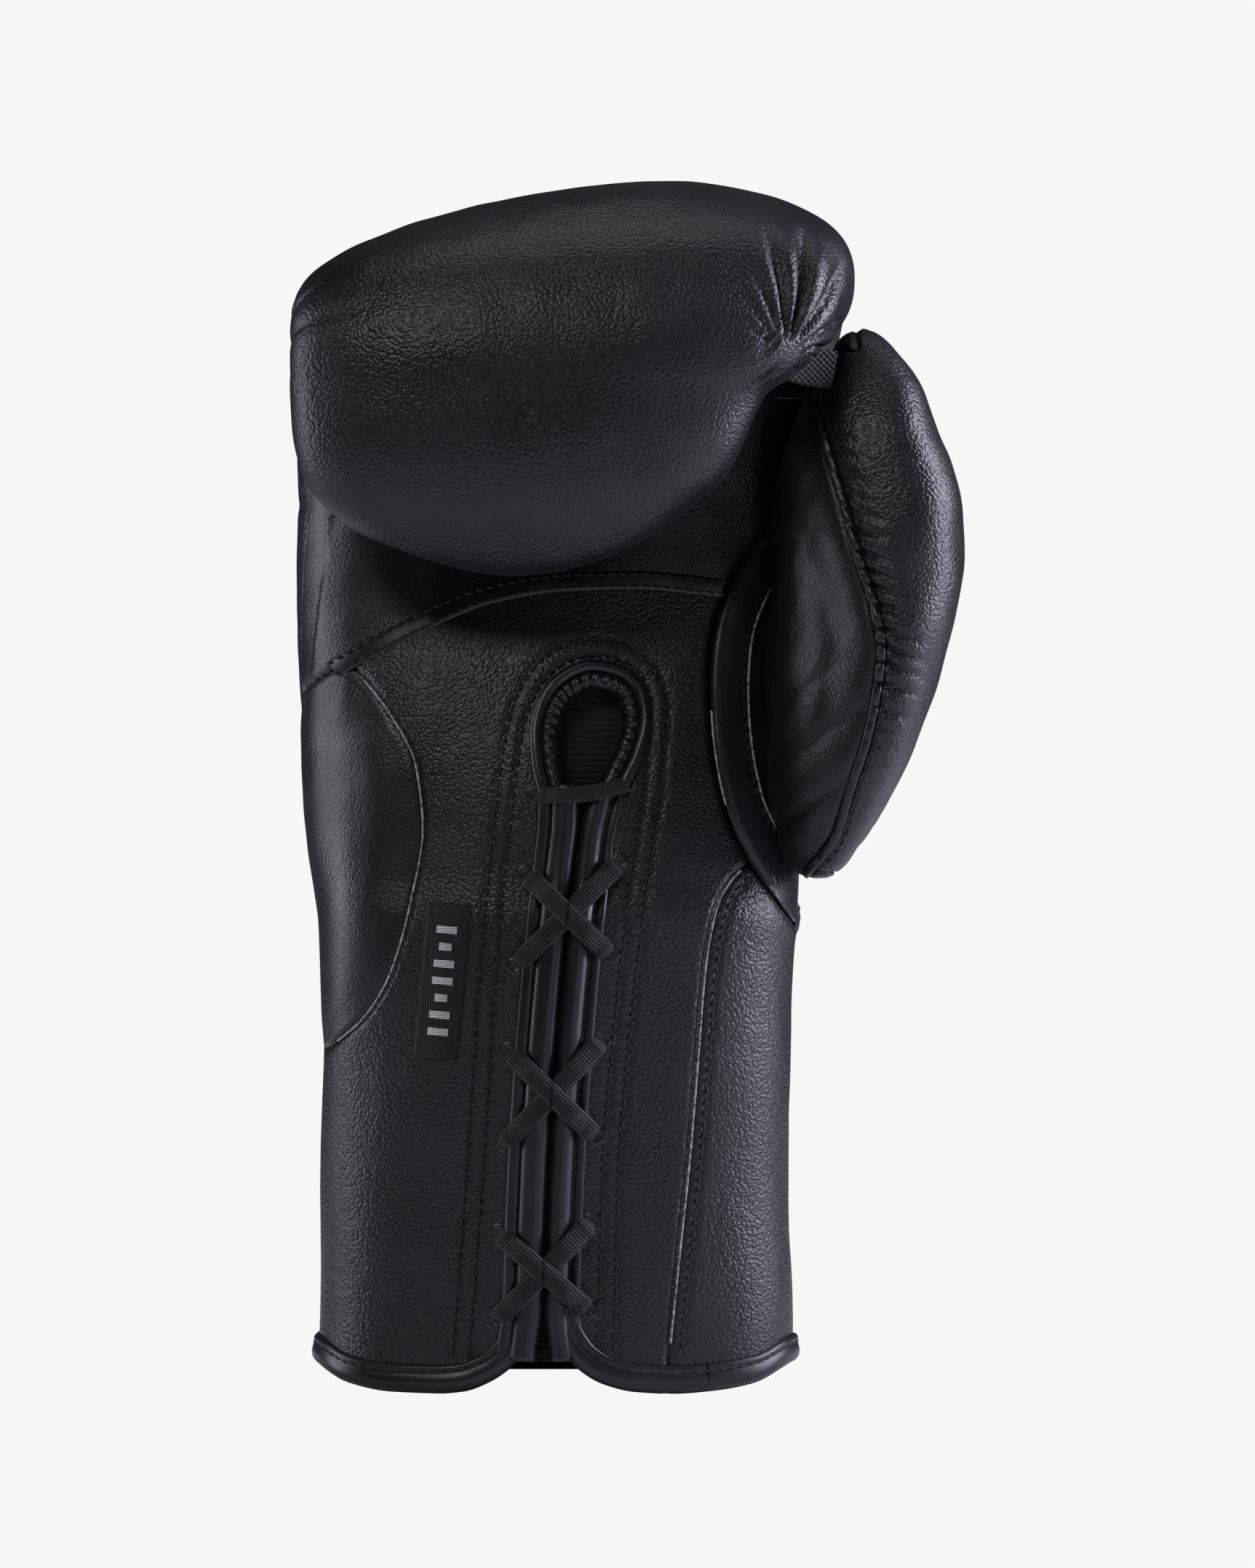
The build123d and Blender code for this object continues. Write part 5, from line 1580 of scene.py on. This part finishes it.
        def pick(rows: Array, where: Array) -> Array:
            """Rows read at distances along the ring."""
            return np.stack([np.interp(where, run, rows[:, k]) for k in range(3)], axis=1)

        mid, ahead, out_way = pick(line, even), pick(line, even + 1.0), pick(up, even)
        out_way /= np.linalg.norm(out_way, axis=1, keepdims=True)
        return Sewing.along(mid, out_way, ahead - mid, 2.2, 0.34, out)

    def hem(self) -> None:
        """Rolled binding round the cuff's mouth: a half for each flap and one round the back."""
        profile = [
            (-7.75, -0.5), (-7.7, 0.6), (-7.1, 1.3), (-6.3, 1.5), (-5.6, 1.2), (-4.9, 1.6), (-3.2, 2.0), (-1.6, 1.8),
            (-0.5, 1.0), (-0.05, -0.4), (0.0, -2.2), (-0.1, -4.6), (-0.6, -6.4), (-1.8, -7.4), (-4.0, -7.9),
            (-9.0, -7.9),
        ]
        line = self.palm.lines.at("hem", 1.0)
        peak = int(np.argmax(line[:, 1] * (np.abs(line[:, 0] + 23) < 3)))
        for half, part in ((Half.PINKY, line[: peak - 6]), (Half.THUMB, line[peak + 7 :])):
            inside = (part[:, 0] > -62.5) & (part[:, 0] < 21.5)
            part = part[inside]
            band = ribbon(self.palm.lift, part, profile)
            band.points[:, 2] = np.maximum(band.points[:, 2], FLOOR_GAP)
            name = half.name.lower()
            self.shop.piece(
                f"{name}_half_hem_binding", band, self.finishes.binding, "binding_leather",
                replaces=(f"{name}_flap_hem", f"{name}_flap_lining"), half=half,
            )
            row = part - 5.7 * side_of(part)
            stitches = Sewing.row(self.palm.lift, row, height=1.3)
            self.shop.piece(f"{name}_half_hem_stitches", stitches, self.finishes.thread, "binding_leather", half=half)
        self.back_binding(profile)

    def back_binding(self, profile: Sequence[Sequence[float]]) -> None:
        """Binding round the sides and the back of the cuff."""
        rows = self.skin.run[:, 0]
        columns: list[Array] = []
        middle_row = int(np.argmin(np.abs(rows - 8.0)))
        base = self.skin.points[middle_row]
        round_order = np.argsort(np.arctan2(base[:, 1] - SIDE_Y, base[:, 0] + 20.0))
        angle = np.arctan2(base[round_order, 1] - SIDE_Y, base[round_order, 0] + 20.0)
        front = (base[round_order, 1] < -10.0) & (np.abs(base[round_order, 0] + 20.4) < 41.0)
        start = int(np.argmax(angle > -math.pi / 2))
        round_order, front = np.roll(round_order, -start), np.roll(front, -start)
        chosen = [c for c, skip in zip(round_order, front) if not skip]
        for column in chosen:
            path, way = self.skin.points[:, column], self.skin.normals[:, column]
            x, y = base[column, 0], base[column, 1]
            if y < SIDE_Y:
                low = float(self.palm.hem_z(x))
                foot = low + float(smooth(-24.0, SIDE_Y, np.array(y))) * (7.0 - low)
            else:
                foot = float(self.back_hem(np.array(x)))
            heights = foot - np.array(profile)[:, 0]
            out = np.array(profile)[:, 1]
            place = np.stack([np.interp(heights, path[:, 2], path[:, k]) for k in range(3)], axis=1)
            place[:, 2] = np.maximum(heights, FLOOR_GAP)
            columns.append(place + way[middle_row] * np.array([1.0, 1.0, 0.0]) * out[:, None])
        points = np.stack(columns)
        flat = points.reshape(-1, 3)
        faces = grid_faces(len(columns), len(profile), False)
        soup = Soup(flat, np.zeros_like(flat), faces, np.full(len(flat), 99.0))
        self.shop.piece(
            "back_hem_binding", soup, self.finishes.binding, "binding_leather", replaces=("hem_binding",)
        )
        spots = points[:, 4]
        ups = self.skin.normals[middle_row][chosen]
        run = np.concatenate([[0.0], np.cumsum(np.linalg.norm(np.diff(spots, axis=0), axis=1))])
        even = np.arange(1.0, run[-1] - 1.5, STITCH_PITCH)
        mid = np.stack([np.interp(even, run, spots[:, k]) for k in range(3)], axis=1)
        ahead = np.stack([np.interp(even + 1.0, run, spots[:, k]) for k in range(3)], axis=1)
        up = np.stack([np.interp(even, run, ups[:, k]) for k in range(3)], axis=1)
        stitches = Sewing.along(mid, up, ahead - mid, 2.2, 0.32, 0.15)
        self.shop.piece("back_hem_stitches", stitches, self.finishes.thread, "binding_leather")

    def lining(self) -> None:
        """Cloth lining seen in the cuff's mouth, closed at the finger end."""
        stations = (
            (7, 7, 0, -77.4, 36.9, -15.4, 49.4, 2.5),
            (63.5, 63.5, 0, -75.5, 35.6, -13.8, 46.5, 2.5),
            (127, 127, 0, -73.5, 36.0, -12.6, 44.5, 2.5),
            (166, 166, 0, -73.0, 35.5, -5.0, 46.0, 2.5),
            (215, 215, 0, -73.0, 36.5, 8.5, 43.0, 2.5),
            (258, 258, 0, -72.0, 38.0, 13.0, 40.0, 2.5),
            (268, 268, 0, -60.0, 26.0, 18.0, 34.0, 2.3),
            (270, 270, 0, -20.0, -14.0, 25.0, 27.0, 2.0),
        )
        skin = Skin(stations, 3.0, 160)
        skin.displace(0.5 * waves(skin.flat(), 24.0, 31))
        soup = skin.soup()
        x, y, z = soup.points.T
        window = np.maximum(np.maximum(np.abs(x - gap_x(z)) - 13.0, y + 6.0), z - 188.0)
        soup = soup.cut(window, seam=False)
        self.shop.piece(
            "hand_lining_cloth", soup, self.finishes.lining, "lining_cloth",
            replaces=("hand_lining", "knuckle_lining", "finger_pocket_lining"), thickness=0.8,
        )


# ---------------------------------------------------------------- studio
@dataclass
class Studio:
    """Pale floor, soft lights and the camera.

    Args:
        view_height: height of the frame at the glove, in metres.
        lens: focal length in millimetres.
    """

    view_height: float = 0.43
    lens: float = 200.0
    backdrop: tuple[float, float, float] = (0.922, 0.922, 0.922)

    def build(self) -> None:
        """Make the floor, the lights and the camera."""
        bpy.context.scene.view_settings.view_transform = "Standard"
        self.world()
        self.floor()
        self.light("key", (-0.55, -1.25, 1.25), (0.7, 0.3), 7.0, (0.96, 0.97, 1.0))
        self.light("front_strip", (0.75, -1.3, 0.25), (0.25, 0.8), 0.9, (0.92, 0.94, 1.0))
        self.light("right_rim", (0.85, 0.0, 0.5), (0.3, 0.8), 14.0, (0.82, 0.83, 1.0))
        self.light("left_rim", (-0.9, 0.1, 0.3), (0.3, 0.8), 4.0, (0.9, 0.91, 1.0))
        self.light("top", (0.0, 0.1, 1.1), (0.7, 0.3), 1.2, (0.96, 0.97, 1.0))
        self.camera()

    def world(self) -> None:
        """Plain backdrop that is bright to the camera and dim as a light."""
        world = bpy.data.worlds.new("studio_backdrop")
        bpy.context.scene.world = world
        world.use_nodes = True
        tree = world.node_tree
        tree.nodes.clear()
        output = tree.nodes.new("ShaderNodeOutputWorld")
        mix = tree.nodes.new("ShaderNodeMixShader")
        path = tree.nodes.new("ShaderNodeLightPath")
        dim, bright = tree.nodes.new("ShaderNodeBackground"), tree.nodes.new("ShaderNodeBackground")
        dim.inputs["Color"].default_value = (0.9, 0.9, 1.0, 1.0)
        dim.inputs["Strength"].default_value = 0.02
        bright.inputs["Color"].default_value = (*self.backdrop, 1.0)
        tree.links.new(path.outputs["Is Camera Ray"], mix.inputs[0])
        tree.links.new(dim.outputs[0], mix.inputs[1])
        tree.links.new(bright.outputs[0], mix.inputs[2])
        tree.links.new(mix.outputs[0], output.inputs["Surface"])

    def floor(self) -> None:
        """Wide pale floor under the hem."""
        reach = 40.0
        level = -0.0002
        mesh = bpy.data.meshes.new("studio_floor")
        corners = [(x * reach, y * reach, level) for x, y in ((-1, -1), (1, -1), (1, 1), (-1, 1))]
        mesh.from_pydata(corners, [], [(0, 1, 2, 3)])
        floor = bpy.data.objects.new("studio_floor", mesh)
        bpy.context.scene.collection.objects.link(floor)
        material = bpy.data.materials.new("studio_floor_paper")
        material.use_nodes = True
        tree = material.node_tree
        tree.nodes.clear()
        output = tree.nodes.new("ShaderNodeOutputMaterial")
        paper, glow = tree.nodes.new("ShaderNodeBsdfDiffuse"), tree.nodes.new("ShaderNodeEmission")
        mix = tree.nodes.new("ShaderNodeMixShader")
        path = tree.nodes.new("ShaderNodeLightPath")
        paper.inputs["Color"].default_value = (0.8, 0.8, 0.8, 1.0)
        glow.inputs["Color"].default_value = (*self.backdrop, 1.0)
        tree.links.new(path.outputs["Is Camera Ray"], mix.inputs[0])
        tree.links.new(paper.outputs[0], mix.inputs[1])
        tree.links.new(glow.outputs[0], mix.inputs[2])
        tree.links.new(mix.outputs[0], output.inputs["Surface"])
        mesh.materials.append(material)
        floor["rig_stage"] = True

    def light(
        self,
        name: str,
        place: tuple[float, float, float],
        size: tuple[float, float],
        power: float,
        colour: tuple[float, float, float],
    ) -> None:
        """Add one soft light aimed at the glove's middle.

        Args:
            name: light name.
            place: position in metres.
            size: width and height in metres.
            power: power in watts.
            colour: linear colour.
        """
        data = bpy.data.lights.new(name, "AREA")
        data.shape = "RECTANGLE"
        data.size, data.size_y = size
        data.energy = power
        data.color = colour
        lamp = bpy.data.objects.new(name, data)
        lamp.location = place
        lamp.visible_camera = False
        aim = Vector((0.0, 0.0, 0.17)) - Vector(place)
        lamp.rotation_euler = aim.to_track_quat("-Z", "Y").to_euler()
        bpy.context.scene.collection.objects.link(lamp)

    def camera(self) -> None:
        """Level long-lens camera facing the palm."""
        data = bpy.data.cameras.new("studio_camera")
        data.lens = self.lens
        data.sensor_width = 36.0
        data.clip_end = 200.0
        camera = bpy.data.objects.new("studio_camera", data)
        distance = self.view_height * self.lens / data.sensor_width
        low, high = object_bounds()
        middle = (low + high) / 2
        camera.location = (middle.x, -distance, middle.z)
        camera.rotation_euler = (math.pi / 2, 0.0, 0.0)
        bpy.context.scene.collection.objects.link(camera)
        bpy.context.scene.camera = camera


def main() -> None:
    """Build the glove and the studio."""
    logging.basicConfig(level=logging.INFO, format="%(name)s %(message)s")
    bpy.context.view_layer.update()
    finishes = Finishes()
    shop = Workshop()
    skin = HandForm().build()
    palm = Palm(skin, finishes, shop)
    palm.build()
    Lacing(palm, finishes, shop).build()
    ThumbForm(finishes, shop, palm).build()
    Shell(skin, palm, finishes, shop).build()
    Studio().build()


if __name__ == "__main__":
    main()
